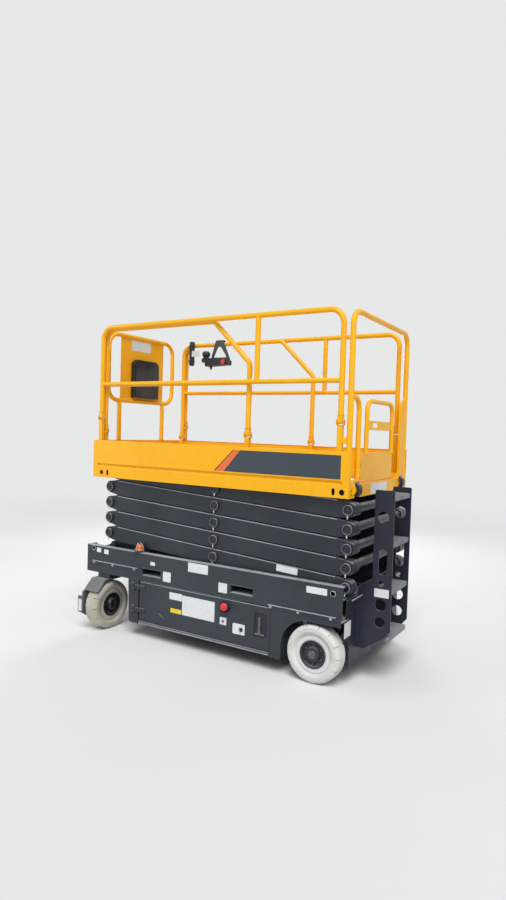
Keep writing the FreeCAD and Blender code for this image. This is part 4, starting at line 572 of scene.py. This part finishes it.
def make_chassis_trim():
    """Bolted strips, lips of the fork pockets with a pale pocket floor of painted light, rings in the tie
    holes, weld beads and rubbed edges.
    """
    for side, word in SIDES:
        skin = on_side(side * face, side)
        strips, ledges, bolts = Piece(), Piece(), Piece()
        for low, high, z in ((0.696, 1.178, 0.528), (-0.966, -0.470, 0.4525)):
            strips.prism(oblong(low, high, z - 0.016, z + 0.004, 0.003), 0.0, 0.004, skin, 0.0008)
            ledges.prism(oblong(low, high, z + 0.004, z + 0.0095, 0.002), 0.0, 0.010, skin, 0.0008)
            for share in (0.04, 0.46, 0.93):
                x = high - (high - low) * share
                bolts.bolt(on_side(side * (face + 0.004), side, x, z - 0.006), 0.0105, 0.0065)
        strips.done(f"beam_strips_{word}", "dark", "chassis", "dark_paint")
        ledges.done(f"beam_ledges_{word}", "edge", "chassis")
        bolts.done(f"beam_bolts_{word}", "steel", "chassis")
        lips = Piece()
        for low in POCKET_STARTS:
            high = low + POCKET_WIDTH
            # Lower lip: a rubbed edge at the opening that runs 130 mm inside as a pale floor, which is
            # painted light on a floor in the pocket's shade; upper lip: a rubbed edge
            lips.prism([(low, 0.4895), (high, 0.4895), (high, 0.4925), (low, 0.4925)], -0.130, 0.0008, skin)
            lips.prism([(low, 0.5435), (high, 0.5435), (high, 0.5450), (low, 0.5450)], -0.030, 0.0004, skin)
        lips.done(f"pocket_lips_and_painted_light_{word}", "edge", "chassis")
        rings = Piece()
        for x, z in TIE_HOLES:
            spot = on_side(side * face, side, x, z)
            rings.lathe([(0.0160, -0.0082), (0.0160, 0.0007), (0.0188, 0.0007), (0.0196, 0.0),
                         (0.0190, -0.0004), (0.0168, -0.0070)], spot, 32, True)
        rings.done(f"tie_rings_{word}", "steel", "chassis")
        beads, ripple = Piece(), 0.012
        for x, z, length in ((0.20, 0.4435, 0.9), (-0.75, 0.4435, 0.35)):
            path = [(x - length / 2 + k * ripple, side * (face - 0.0005), z + 0.0006 * (k % 2))
                    for k in range(int(length / ripple))]
            beads.pipe(path, 0.0024, 6)
        beads.done(f"beam_welds_{word}", "dark", "chassis", "dark_paint")
        rubbed = Piece()
        rubbed.prism([(-1.010, beam_top - 0.0045), (1.226, beam_top - 0.0045), (1.226, beam_top + 0.0006),
                      (-1.010, beam_top + 0.0006)], -0.030, 0.0006, skin)
        rubbed.done(f"beam_edge_{word}", "edge", "chassis")
    low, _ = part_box("chassis_frame")
    Piece().prism(oblong(-0.530, 0.530, 0.5640, 0.5752, 0.002), 0.0, 0.0008, on_rear(low.x)).done(
        "rear_box_edge", "edge", "chassis")


def make_guard_trim():
    """The light worn edge and the small bolts of the pothole guards."""
    for side, word in SIDES:
        edge, bolts = Piece(), Piece()
        low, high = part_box(f"pothole_guard_{word}")
        start, end = low.x + 0.012, high.x - 0.012
        for bottom, top in ((0.1115, 0.1200), (0.1275, 0.1320)):
            edge.prism([(start, bottom), (end, bottom), (end, top), (start, top)],
                       0.0, 0.0012, on_side(side * (face - 0.0015), side), 0.0003)
        edge.done(f"guard_edge_{word}", "edge", f"guard_{word}")
        count = 6
        for k in range(count):
            x = start + (end - start) * (k + 0.5) / count
            bolts.bolt(on_side(side * (face - 0.0007), side, x, 0.1235), 0.0042, 0.003, False)
        bolts.done(f"guard_bolts_{word}", "steel", f"guard_{word}")


def make_ground_controls():
    """The controls on the left tray's door, which stand for the plain CAD ones."""
    skin = on_side(face)
    stop, knob, switch = (on_side(face, 1, x, z)
                          for x, z in ((-0.127, 0.385), (-0.262, 0.246), (-0.110, 0.277)))
    recess = (-0.449, -0.373, 0.240, 0.384, 0.008)
    black = Piece()
    black.lathe([(0.0400, 0.0), (0.0400, 0.0210), (0.0385, 0.0230), (0.0365, 0.0230), (0.0350, 0.0215),
                 (0.0350, 0.0060), (0.0180, 0.0060), (0.0180, 0.0130), (0.0, 0.0130)], stop, 48)
    black.prism(oblong(-0.275, -0.249, 0.233, 0.259, 0.006), 0.0034, 0.007, skin, 0.001)
    black.lathe([(0.0110, 0.006), (0.0110, 0.014), (0.0095, 0.0155), (0.0, 0.0155)], knob, 24)
    black.lathe([(0.0080, 0.002), (0.0080, 0.007), (0.0065, 0.008)], switch, 20)
    black.prism(oblong(*recess), 0.0, 0.0012, skin)
    stand = black.done("ground_control_base", "plastic", "tray_left", "control_plastic")
    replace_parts(stand, "ground_controls")
    head = Piece()
    head.lathe([(0.0150, 0.012), (0.0260, 0.0135), (0.0290, 0.0165), (0.0293, 0.0240), (0.0275, 0.0285),
                (0.0230, 0.0325), (0.0130, 0.0345), (0.0, 0.0350)], stop, 48)
    head.done("ground_stop_button", "red", "tray_left")
    white = Piece()
    white.prism(oblong(-0.291, -0.192, 0.209, 0.282, 0.008), 0.0, 0.0034, skin, 0.0008)
    white.prism(oblong(-0.138, -0.082, 0.251, 0.303, 0.006), 0.0, 0.0022, skin, 0.0006)
    white.done("ground_control_plates", "white", "tray_left")
    frame_edge = Piece()
    outer, inner = oblong(-0.461, -0.361, 0.228, 0.396, 0.014, 5), oblong(*recess, 5)
    loops = []
    for outline, height in ((outer, 0.0), (outer, 0.0042), (inner, 0.0055), (inner, 0.0008)):
        loops.append([frame_edge.mesh.verts.new(skin @ Vector((*p, height))) for p in outline])
    frame_edge.bridge(loops)
    frame_edge.done("lever_surround", "black", "tray_left")
    lever = Piece()
    lever.prism(oblong(-0.419, -0.403, 0.250, 0.362, 0.006), 0.0045, 0.0085, skin, 0.001)
    lever.lathe([(0.0125, 0.001), (0.0125, 0.0085), (0.0105, 0.0095)], on_side(face, 1, -0.411, 0.252), 24)
    lever.done("release_lever", "dull_steel", "tray_left")
    bright = Piece()
    bright.prism([(-0.447, 0.2405), (-0.375, 0.2405), (-0.375, 0.2445), (-0.447, 0.2445)],
                 0.0, 0.0046, skin)
    bright.bolt(on_side(face + 0.0034, 1, -0.214, 0.246), 0.004, 0.002, False)
    bright.lathe([(0.0026, 0.004), (0.0030, 0.0195), (0.0036, 0.0200), (0.0028, 0.0212)], switch, 14)
    bright.prism([(-0.2635, 0.2375), (-0.2605, 0.2375), (-0.2605, 0.2545), (-0.2635, 0.2545)],
                 0.0150, 0.0240, skin, 0.0006)
    bright.done("ground_control_metal", "steel", "tray_left")


def make_door_edges():
    """The folded top edges of the trays' doors, pale as a painted highlight of light from above, and scuffs
    on the left one.
    """
    for side, word in SIDES:
        fold = Piece()
        # Pale strip on each door's top fold: a painted highlight
        fold.prism(oblong(-0.480, 0.664, DOOR_TOP - 0.0052, DOOR_TOP - 0.0002, 0.001), 0.0, 0.0010,
                   on_side(side * face, side))
        fold.done(f"door_fold_highlight_{word}", "edge", f"tray_{word}")
    scuff, half, thin = Piece(), 0.0016, 0.4
    for start, end in (((0.478, 0.224), (0.420, 0.190)), ((0.470, 0.216), (0.446, 0.204)),
                       ((-0.740, 0.400), (-0.752, 0.345)), ((-0.754, 0.404), (-0.768, 0.350))):
        first, last = Vector(start), Vector(end)
        wide = (last - first).orthogonal().normalized() * half
        scuff.prism([first - wide, last - wide * thin, last + wide * thin, first + wide], 0.0, 0.0004,
                    on_side(face))
    scuff.done("door_scuffs", "edge", "tray_left")


def make_labels():
    """Blank plates and films where the machine carries them."""
    skin = on_side(face)
    for name, place, box, look, body in (
            ("label_beam_middle", skin, (0.033, 0.211, 0.582, 0.650), "white", "chassis"),
            ("label_beam_rear", skin, (-0.899, -0.752, 0.588, 0.631), "white", "chassis"),
            ("label_front_hole_a", skin, (1.088, 1.136, 0.607, 0.643), "white", "chassis"),
            ("label_front_hole_b", skin, (1.007, 1.055, 0.602, 0.638), "white", "chassis"),
            ("label_front_slot", skin, (0.370, 0.444, 0.474, 0.548), "white", "chassis"),
            ("label_front_slot_top", skin, (0.525, 0.570, 0.577, 0.604), "white", "chassis"),
            ("label_rear_slot", skin, (-0.135, -0.062, 0.476, 0.545), "white", "chassis"),
            ("label_door_wide", skin, (-0.034, 0.256, 0.254, 0.398), "white", "tray_left"),
            ("label_door_small", skin, (0.258, 0.377, 0.352, 0.404), "white", "tray_left"),
            ("label_door_yellow", skin, (0.262, 0.364, 0.254, 0.287), "yellow_film", "tray_left"),
            ("label_arm", arm_place(1, 1), (0.350, 0.512, 0.006, 0.050), "white", "outer_1"),
            ("label_ladder", on_side(0.350), (-1.224, -1.126, 0.573, 0.628), "white", "chassis"),
            ("label_back", on_rear(-1.014), (0.455, 0.560, 0.325, 0.425), "white", "chassis"),
            ("label_yoke", on_side(0.7208), (1.153, 1.188, 0.152, 0.245), "white", "knuckle_left"),
            ("label_platform_rear", on_rear(DECK_END), (-0.125, 0.190, 1.222, 1.290), "white", "platform"),
            ("label_front_rail", on_rear(1.218), (-0.100, 0.147, 2.290, 2.380), "white", "extension")):
        plate(name, place, box, look, body)


def make_deck_sides():
    """Black plates that paint the shade in the slots at the deck's rear end, and the stripes on both sides of
    the platform.
    """
    slots = Piece()
    # The slots are not cut: thin black plates paint the shade seen in their openings
    for z in (1.262, 1.238):
        slots.prism(oblong(0.5255, 0.5375, z - 0.007, z + 0.007, 0.0055), 0.0, 0.0005, on_rear(DECK_END))
    slots.done("deck_end_slot_shade", "black", "platform")
    for way, word in SIDES:
        stripes(way, word)


def stripes(way, word):
    """The dark film, the orange stripe and the thin dark one on a side of the platform."""
    skin = on_side(way * deck_face, way)
    low, high = 1.334, 1.487
    forms = (
        ("dark_band", "decal", [(-0.957, low), (-0.069, low), (-0.201, high), (-0.957, high)]),
        ("orange_band", "orange", [(-0.067, low), (-0.002, low), (-0.157, high), (-0.199, high)]),
        ("thin_band", "maroon", [(0.003, low), (0.016, low), (-0.141, high), (-0.152, high)]),
    )
    for name, look, outline in forms:
        Piece().prism(outline, 0.0, 0.0008, skin).done(f"{name}_{word}", look, "platform")


def arm_place(stage, side):
    """Local x runs along an outer arm from its rear pin, local y across it, local z out of its face."""
    height = REAR_PIN_Z + (stage - 1) * STAGE_RISE
    flat = on_side(side * (arm_face - PIN_PROUD), side, REAR_PIN_X, height)
    return flat @ Matrix.Rotation(ARM_TILT, 4, "Z")


def make_arm_trim():
    """Rims, pin heads and painted highlight rings on the scissor bosses, grease nipples, and painted
    highlight strips on the arms' upper edges.
    """
    # band is the height of the painted highlight strip on each arm's upper edge; taper keeps it off the
    # tapered ends
    taper, band = 0.080, 0.0060
    for stage in STAGES:
        rims, bright, heads, nipples, edges = (Piece() for _ in range(5))
        spots = [0.0, ARM_LENGTH / 2] + ([ARM_LENGTH] if stage < STAGES[-1] else [])
        for side, _ in SIDES:
            place = arm_place(stage, side)
            for x in spots:
                spot = place @ Matrix.Translation((x, 0, 0))
                rims.lathe([(0.0345, 0.0), (0.0345, 0.0155), (0.0335, 0.0165), (0.0250, 0.0165),
                            (0.0240, 0.0150), (0.0240, 0.0062)], spot, 40)
                # Pale ring round each boss's rim in step paint: a painted highlight of the light caught by
                # the chamfer
                bright.lathe([(0.0347, 0.0140), (0.0347, 0.0162), (0.0325, 0.0180), (0.0305, 0.0180),
                              (0.0305, 0.0160)], spot, 40, True)
                heads.lathe([(0.0235, 0.0062), (0.0235, 0.0128), (0.0210, 0.0150), (0.0, 0.0156)], spot, 32)
                heads.bolt(spot @ Matrix.Translation((0.0, 0.0, 0.0148)), 0.0075, 0.0025, False)
                under = place @ Matrix.Translation((x, -0.0450, 0.0110)) @ Matrix.Rotation(
                    math.radians(90), 4, "X")
                nipples.lathe([(0.0046, -0.0120), (0.0046, 0.0040), (0.0032, 0.0050), (0.0032, 0.0085),
                               (0.0042, 0.0100), (0.0024, 0.0125)], under, 12)
            # Pale strip along each arm's upper edge: a painted highlight of the light that the rounded tube
            # corner would catch from above
            start, end, low = taper, ARM_LENGTH - taper, ARM_HALF - band
            edges.prism([(start, low), (end, low), (end, ARM_HALF), (start, ARM_HALF)], 0.0, 0.0006, place)
        rims.done(f"pin_rims_{stage}", "arm", f"outer_{stage}", "arm_paint")
        bright.done(f"pin_rim_highlights_{stage}", "step", f"outer_{stage}")
        heads.done(f"pin_heads_{stage}", "black", f"outer_{stage}", "arm_paint")
        nipples.done(f"grease_nipples_{stage}", "pale", f"outer_{stage}")
        edges.done(f"arm_edge_highlights_{stage}", "edge", f"outer_{stage}")


def make_ladder_trim():
    """Raised studs and a raised rear edge on the steps of the ladder."""
    low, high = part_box("ladder_steps")
    rows, columns, shift = 7, 20, 0.0040
    start, end, right, left = low.x + 0.002, low.x + 0.0065, low.y + 0.006, high.y - 0.006
    for index in range(STEP_COUNT):
        top = STEP_LOW + index * STEP_RISE
        treads = Piece()
        for row in range(rows):
            for column in range(columns):
                x = low.x + 0.014 + row * 0.0155
                y = low.y + 0.012 + column * 0.0162 + (shift if row % 2 else 0.0)
                treads.prism(circle(0.0048, 6), -0.0005, 0.0030, on_top(top, x, y), 0.0016)
        treads.prism([(start, right), (end, right), (end, left), (start, left)],
                     -0.0005, 0.0022, on_top(top), 0.0006)
        treads.done(f"step_treads_{index + 1}", "step", "chassis", "step_paint")


def make_deck_floor():
    """Raised tread pattern on the two decks."""
    pitch = 0.034
    for name, body, top, (x0, x1, y0, y1) in (
            ("extension_tread", "extension", 1.3433, (-0.225, 1.195, -0.450, 0.450)),
            ("deck_tread", "platform", 1.302, (-0.995, -0.260, -0.390, 0.390))):
        mat = Piece()
        row, x = 0, x0 + pitch / 2
        while x < x1:
            y = y0 + pitch / 2 + (pitch / 2 if row % 2 else 0)
            while y < y1:
                turn = math.radians(45 if (row + int((y - y0) / pitch)) % 2 else -45)
                spot = on_top(top, x, y) @ Matrix.Rotation(turn, 4, "Z")
                mat.prism([(-0.012, 0), (0, -0.0036), (0.012, 0), (0, 0.0036)], -0.0004, 0.0018, spot,
                          0.0016)
                y += pitch
            x += pitch
            row += 1
        mat.done(name, "dull_steel", body)


def make_beacon_trim():
    """The lamp's collar and its wire guard."""
    low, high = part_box("beacon")
    x, y = (low.x + high.x) / 2, (low.y + high.y) / 2
    base = Piece()
    base.lathe([(0.0400, 0.0003), (0.0400, 0.0040), (0.0375, 0.0060), (0.0345, 0.0060), (0.0345, 0.0100),
                (0.0330, 0.0112), (0.0324, 0.0112), (0.0324, 0.0010)], on_top(beam_top, x, y), 40)
    base.done("beacon_collar", "plastic", "chassis")
    guard, reach, rise = Piece(), 0.041, 0.066
    arch = [math.pi * k / 20 for k in range(21)]
    for turn in (0.0, math.pi / 2):
        guard.pipe([(x + reach * math.cos(a) * math.cos(turn), y + reach * math.cos(a) * math.sin(turn),
                     beam_top + 0.004 + rise * math.sin(a) + turn * 0.002) for a in arch], 0.0020, 8)
    guard.pipe([(x + a, y + b, beam_top + 0.022) for a, b in circle(0.0405, 32)], 0.0018, 8, True)
    guard.done("beacon_guard", "steel", "chassis")


def make_control_box():
    """The control box on its hooked bracket, with stop button and joystick, and the rail's sleeve and tag."""
    skin, rail, body = on_side(BOX_FACE), on_side(RAIL_SIDE), "extension_rail_right"
    box = Piece()
    box.prism(rounded([(0.592, 2.208), (0.836, 2.198), (0.836, 2.266), (0.712, 2.276), (0.652, 2.268),
                       (0.592, 2.250)], 0.010), -BOX_DEPTH, 0.0, skin, 0.004)
    box.prism(oblong(0.598, 0.656, 2.208, 2.256, 0.008), -0.002, 0.003, skin, 0.0015)
    for x in (0.690, 0.816):
        box.lathe([(0.0042, -0.001), (0.0042, 0.0015), (0.0, 0.0022)],
                  skin @ Matrix.Translation((x, 2.208, 0)), 12)
    under = skin @ Matrix.Translation((0.790, 2.204, -BOX_DEPTH / 2)) @ Matrix.Rotation(
        math.radians(90), 4, "X")
    box.lathe([(0.0115, 0.0), (0.0115, 0.0180), (0.0085, 0.0200), (0.0085, 0.0330)], under, 16)
    box.done("control_box_shell", "plastic", body, "control_plastic")
    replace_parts(bpy.data.objects["control_box_shell"], "control_box")
    bracket = Piece()
    bracket.window(rounded([(0.692, 2.4415), (0.772, 2.4415), (0.836, 2.222), (0.592, 2.222)], 0.010),
                   rounded([(0.716, 2.382), (0.744, 2.382), (0.794, 2.284), (0.646, 2.284)], 0.010),
                   0.0005, 0.0060, rail)
    for low, high, inside in ((2.4345, 2.4415, 0.0005), (2.4180, 2.4345, -0.0315)):
        bracket.prism([(0.692, low), (0.772, low), (0.772, high), (0.692, high)], -0.0355, inside, rail)
    bracket.done("control_box_bracket", "grey", body, "control_plastic")
    red = Piece()
    red.lathe([(0.0130, 0.0), (0.0130, 0.0080), (0.0215, 0.0095), (0.0225, 0.0160), (0.0200, 0.0200),
               (0.0090, 0.0218), (0.0, 0.0220)], skin @ Matrix.Translation((0.624, 2.232, 0.002)), 36)
    red.done("box_stop_button", "red", body)
    stick = Piece()
    spot = on_top(2.238, 0.846, BOX_FACE - BOX_DEPTH / 2)
    stick.lathe([(0.0420, 0.0), (0.0420, 0.0260), (0.0385, 0.0285), (0.0400, 0.0320), (0.0320, 0.0360),
                 (0.0335, 0.0400), (0.0265, 0.0440), (0.0250, 0.0500), (0.0330, 0.0560), (0.0375, 0.0660),
                 (0.0380, 0.0800), (0.0340, 0.0920), (0.0230, 0.1000), (0.0, 0.1030)], spot, 32)
    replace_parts(stick.done("joystick", "plastic", "extension_rail_right"), "box_controls")
    sleeve = Piece()
    sleeve.prism(oblong(SLEEVE, SLEEVE + 0.040, 2.215, 2.440, 0.012), 0.0005, 0.030, rail, 0.004)
    for low, high in ((2.250, 2.266), (2.384, 2.404)):
        sleeve.prism(oblong(SLEEVE - 0.005, SLEEVE + 0.045, low, high, 0.004), 0.0, 0.033, rail, 0.002)
    sleeve.done("rail_sleeve", "plastic", body)
    plate("rail_tag", on_side(-0.455), (SLEEVE - 0.078, SLEEVE + 0.010, 2.298, 2.352), "white", body)


def make_rail_trim():
    """Bolt heads on both ends of the hinges that the side rails fold on."""
    for body, hinge_y, places, heights in (
            ("platform", 0.548, (-0.934, 1.152), (1.700, 1.650)),
            ("extension", 0.505, (-0.218, 1.152), (1.600, 1.550))):
        heads = Piece()
        for (side, _), z in zip(SIDES, heights):
            for x in places:
                for way in (-1, 1):
                    spot = axes((x + way * 0.027, side * hinge_y, z), (0, 1, 0), (0, 0, 1), (way, 0, 0))
                    heads.bolt(spot, 0.0085, 0.0045)
        heads.done(f"hinge_heads_{body}", "steel", body)


def make_tray_contents():
    """Lids, posts and leads of the batteries, and the tank's cap."""
    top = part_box("batteries")[1].z
    starts, pitch, near, far, post_y = (-0.380, -0.110, 0.160), 0.270, 0.030, 0.232, 0.420
    lids, posts, leads = Piece(), Piece(), Piece()
    for start in starts:
        lids.prism(oblong(start + 0.004, start + 0.258, 0.264, 0.446, 0.008), -0.004, 0.004, on_top(top),
                   0.0015)
        for k in range(3):
            lids.lathe([(0.0150, 0.003), (0.0150, 0.010), (0.0125, 0.0125), (0.0, 0.0125)],
                       on_top(top, start + 0.060 + k * 0.070, 0.330), 20)
        for x in (near, far):
            posts.lathe([(0.0085, 0.003), (0.0075, 0.016), (0.0, 0.016)], on_top(top, start + x, post_y), 16)
            posts.bolt(on_top(top + 0.0155, start + x, post_y), 0.0065, 0.004)
    for start in starts[:-1]:
        x0, x1 = start + far, start + pitch + near
        leads.pipe([(x0, post_y, top + 0.014), (x0 + 0.010, post_y + 0.001, top + 0.022),
                    (x0 + 0.034, post_y + 0.004, top + 0.027), (x1 - 0.010, post_y + 0.001, top + 0.022),
                    (x1, post_y, top + 0.014)], 0.0062, 10)
    lids.done("battery_lids", "battery", "tray_left", "battery_case")
    posts.done("battery_posts", "dull_steel", "tray_left")
    leads.done("battery_leads", "red", "tray_left")
    low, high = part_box("hydraulic_tank")
    fittings = Piece()
    fittings.lathe([(0.030, 0.0), (0.030, 0.012), (0.026, 0.022), (0.014, 0.026), (0.0, 0.026)],
                   on_top(high.z, low.x + 0.10, (low.y + high.y) / 2), 28)
    fittings.done("tank_cap", "plastic", "tray_right")


def make_floor():
    """A wide pale floor that fades into the backdrop's colour far from the machine."""
    data = bpy.data.meshes.new("floor")
    size, fade_from, fade_to = 40.0, 3.5, 12.0
    data.from_pydata([(-size, -size, 0), (size, -size, 0), (size, size, 0), (-size, size, 0)], [],
                     [(0, 1, 2, 3)])
    floor = bpy.data.objects.new("floor", data)
    bpy.context.scene.collection.objects.link(floor)
    pale = Paint("floor_pale", FLOOR_PALE, 0.85)
    soft = pale.noise(0.6, 4)
    pale.set("Base Color", pale.mix(pale.span(soft, 0.3, 0.7), FLOOR_PALE,
                                    [c * 1.04 for c in FLOOR_PALE[:3]] + [1]))
    away = pale.add("ShaderNodeVectorMath", {"operation": "LENGTH"})
    pale.feed(away.inputs[0], pale.place)
    share = pale.add("ShaderNodeMapRange", {"interpolation_type": "SMOOTHSTEP"},
                     Value=away.outputs["Value"], From_Min=fade_from, From_Max=fade_to)
    far = pale.add("ShaderNodeEmission", Color=BACKDROP, Strength=1.0)
    blend = pale.add("ShaderNodeMixShader", Fac=share.outputs["Result"])
    pale.feed(blend.inputs[1], pale.shader.outputs[0])
    pale.feed(blend.inputs[2], far.outputs[0])
    pale.feed(pale.tree.nodes["Material Output"].inputs["Surface"], blend.outputs[0])
    data.materials.append(pale.material)


def make_world():
    """Plain light from all round; the camera, gloss and clear plastic see the pale backdrop."""
    world = bpy.data.worlds.new("studio")
    bpy.context.scene.world = world
    world.use_nodes = True
    tree = world.node_tree
    sky = tree.nodes["Background"]
    sky.inputs["Color"].default_value = (0.86, 0.90, 0.96, 1)
    sky.inputs["Strength"].default_value = SKY
    seen = tree.nodes.new("ShaderNodeBackground")
    seen.inputs["Color"].default_value = BACKDROP
    path = tree.nodes.new("ShaderNodeLightPath")
    kinds = [path.outputs[kind] for kind in ("Is Camera Ray", "Is Glossy Ray", "Is Transmission Ray")]
    total = kinds[0]
    for kind in kinds[1:]:
        either = tree.nodes.new("ShaderNodeMath")
        either.operation = "MAXIMUM"
        tree.links.new(total, either.inputs[0])
        tree.links.new(kind, either.inputs[1])
        total = either.outputs[0]
    mix = tree.nodes.new("ShaderNodeMixShader")
    tree.links.new(total, mix.inputs["Fac"])
    tree.links.new(sky.outputs[0], mix.inputs[1])
    tree.links.new(seen.outputs[0], mix.inputs[2])
    tree.links.new(mix.outputs[0], tree.nodes["World Output"].inputs["Surface"])


def make_lamps():
    """A broad, soft high light and three weak lamps that draw the edges."""
    sun = bpy.data.lights.new("high_light", "SUN")
    sun.energy = HIGH_LIGHT
    sun.angle = math.radians(34)
    lamps, aim = [(sun, (-1.2, 2.1, 4.8))], Vector((0, 0, 1.0))
    for name, spot, size, power in (("side", (-4.5, 3.2, 3.4), 2.5, 46), ("end", (4.0, 3.6, 2.6), 2.5, 40),
                                    ("far_side", (2.4, -4.6, 3.0), 3.0, 110)):
        lamp = bpy.data.lights.new(name, "AREA")
        lamp.shape = "DISK"
        lamp.size = size
        lamp.energy = power
        lamps.append((lamp, spot))
    for lamp, spot in lamps:
        item = bpy.data.objects.new(lamp.name, lamp)
        item.location = spot
        item.rotation_euler = (aim - Vector(spot)).to_track_quat("-Z", "Y").to_euler()
        bpy.context.scene.collection.objects.link(item)


def make_camera():
    """The camera at the photograph's place, with its direction, tilt and frame."""
    place, lens = (-2.4894, 4.1506, 1.6242), 24.52
    yaw, pitch, roll = (math.radians(angle) for angle in (-58.6028, -1.7923, 1.7836))
    ahead = Vector((math.cos(pitch) * math.cos(yaw), math.cos(pitch) * math.sin(yaw), math.sin(pitch)))
    right = ahead.cross(Vector((0, 0, 1))).normalized()
    up = right.cross(ahead)
    across = right * math.cos(roll) + up * math.sin(roll)
    upward = up * math.cos(roll) - right * math.sin(roll)
    data = bpy.data.cameras.new("camera")
    data.lens = lens
    data.sensor_width = 36.0
    data.clip_end = 100.0
    camera = bpy.data.objects.new("camera", data)
    camera.matrix_world = axes(place, across, upward, -ahead)
    bpy.context.scene.collection.objects.link(camera)
    bpy.context.scene.camera = camera


def make_stage():
    """Floor, light, camera and the plain view transform."""
    make_floor()
    make_world()
    make_lamps()
    make_camera()
    bpy.context.scene.view_settings.view_transform = "Standard"


paint_nodes()
for wheel in WHEELS:
    make_tyre(wheel)
    make_hub(wheel)
make_chassis_trim()
make_guard_trim()
make_ground_controls()
make_door_edges()
make_labels()
make_deck_sides()
make_arm_trim()
make_ladder_trim()
make_deck_floor()
make_beacon_trim()
make_control_box()
make_rail_trim()
make_tray_contents()
make_stage()
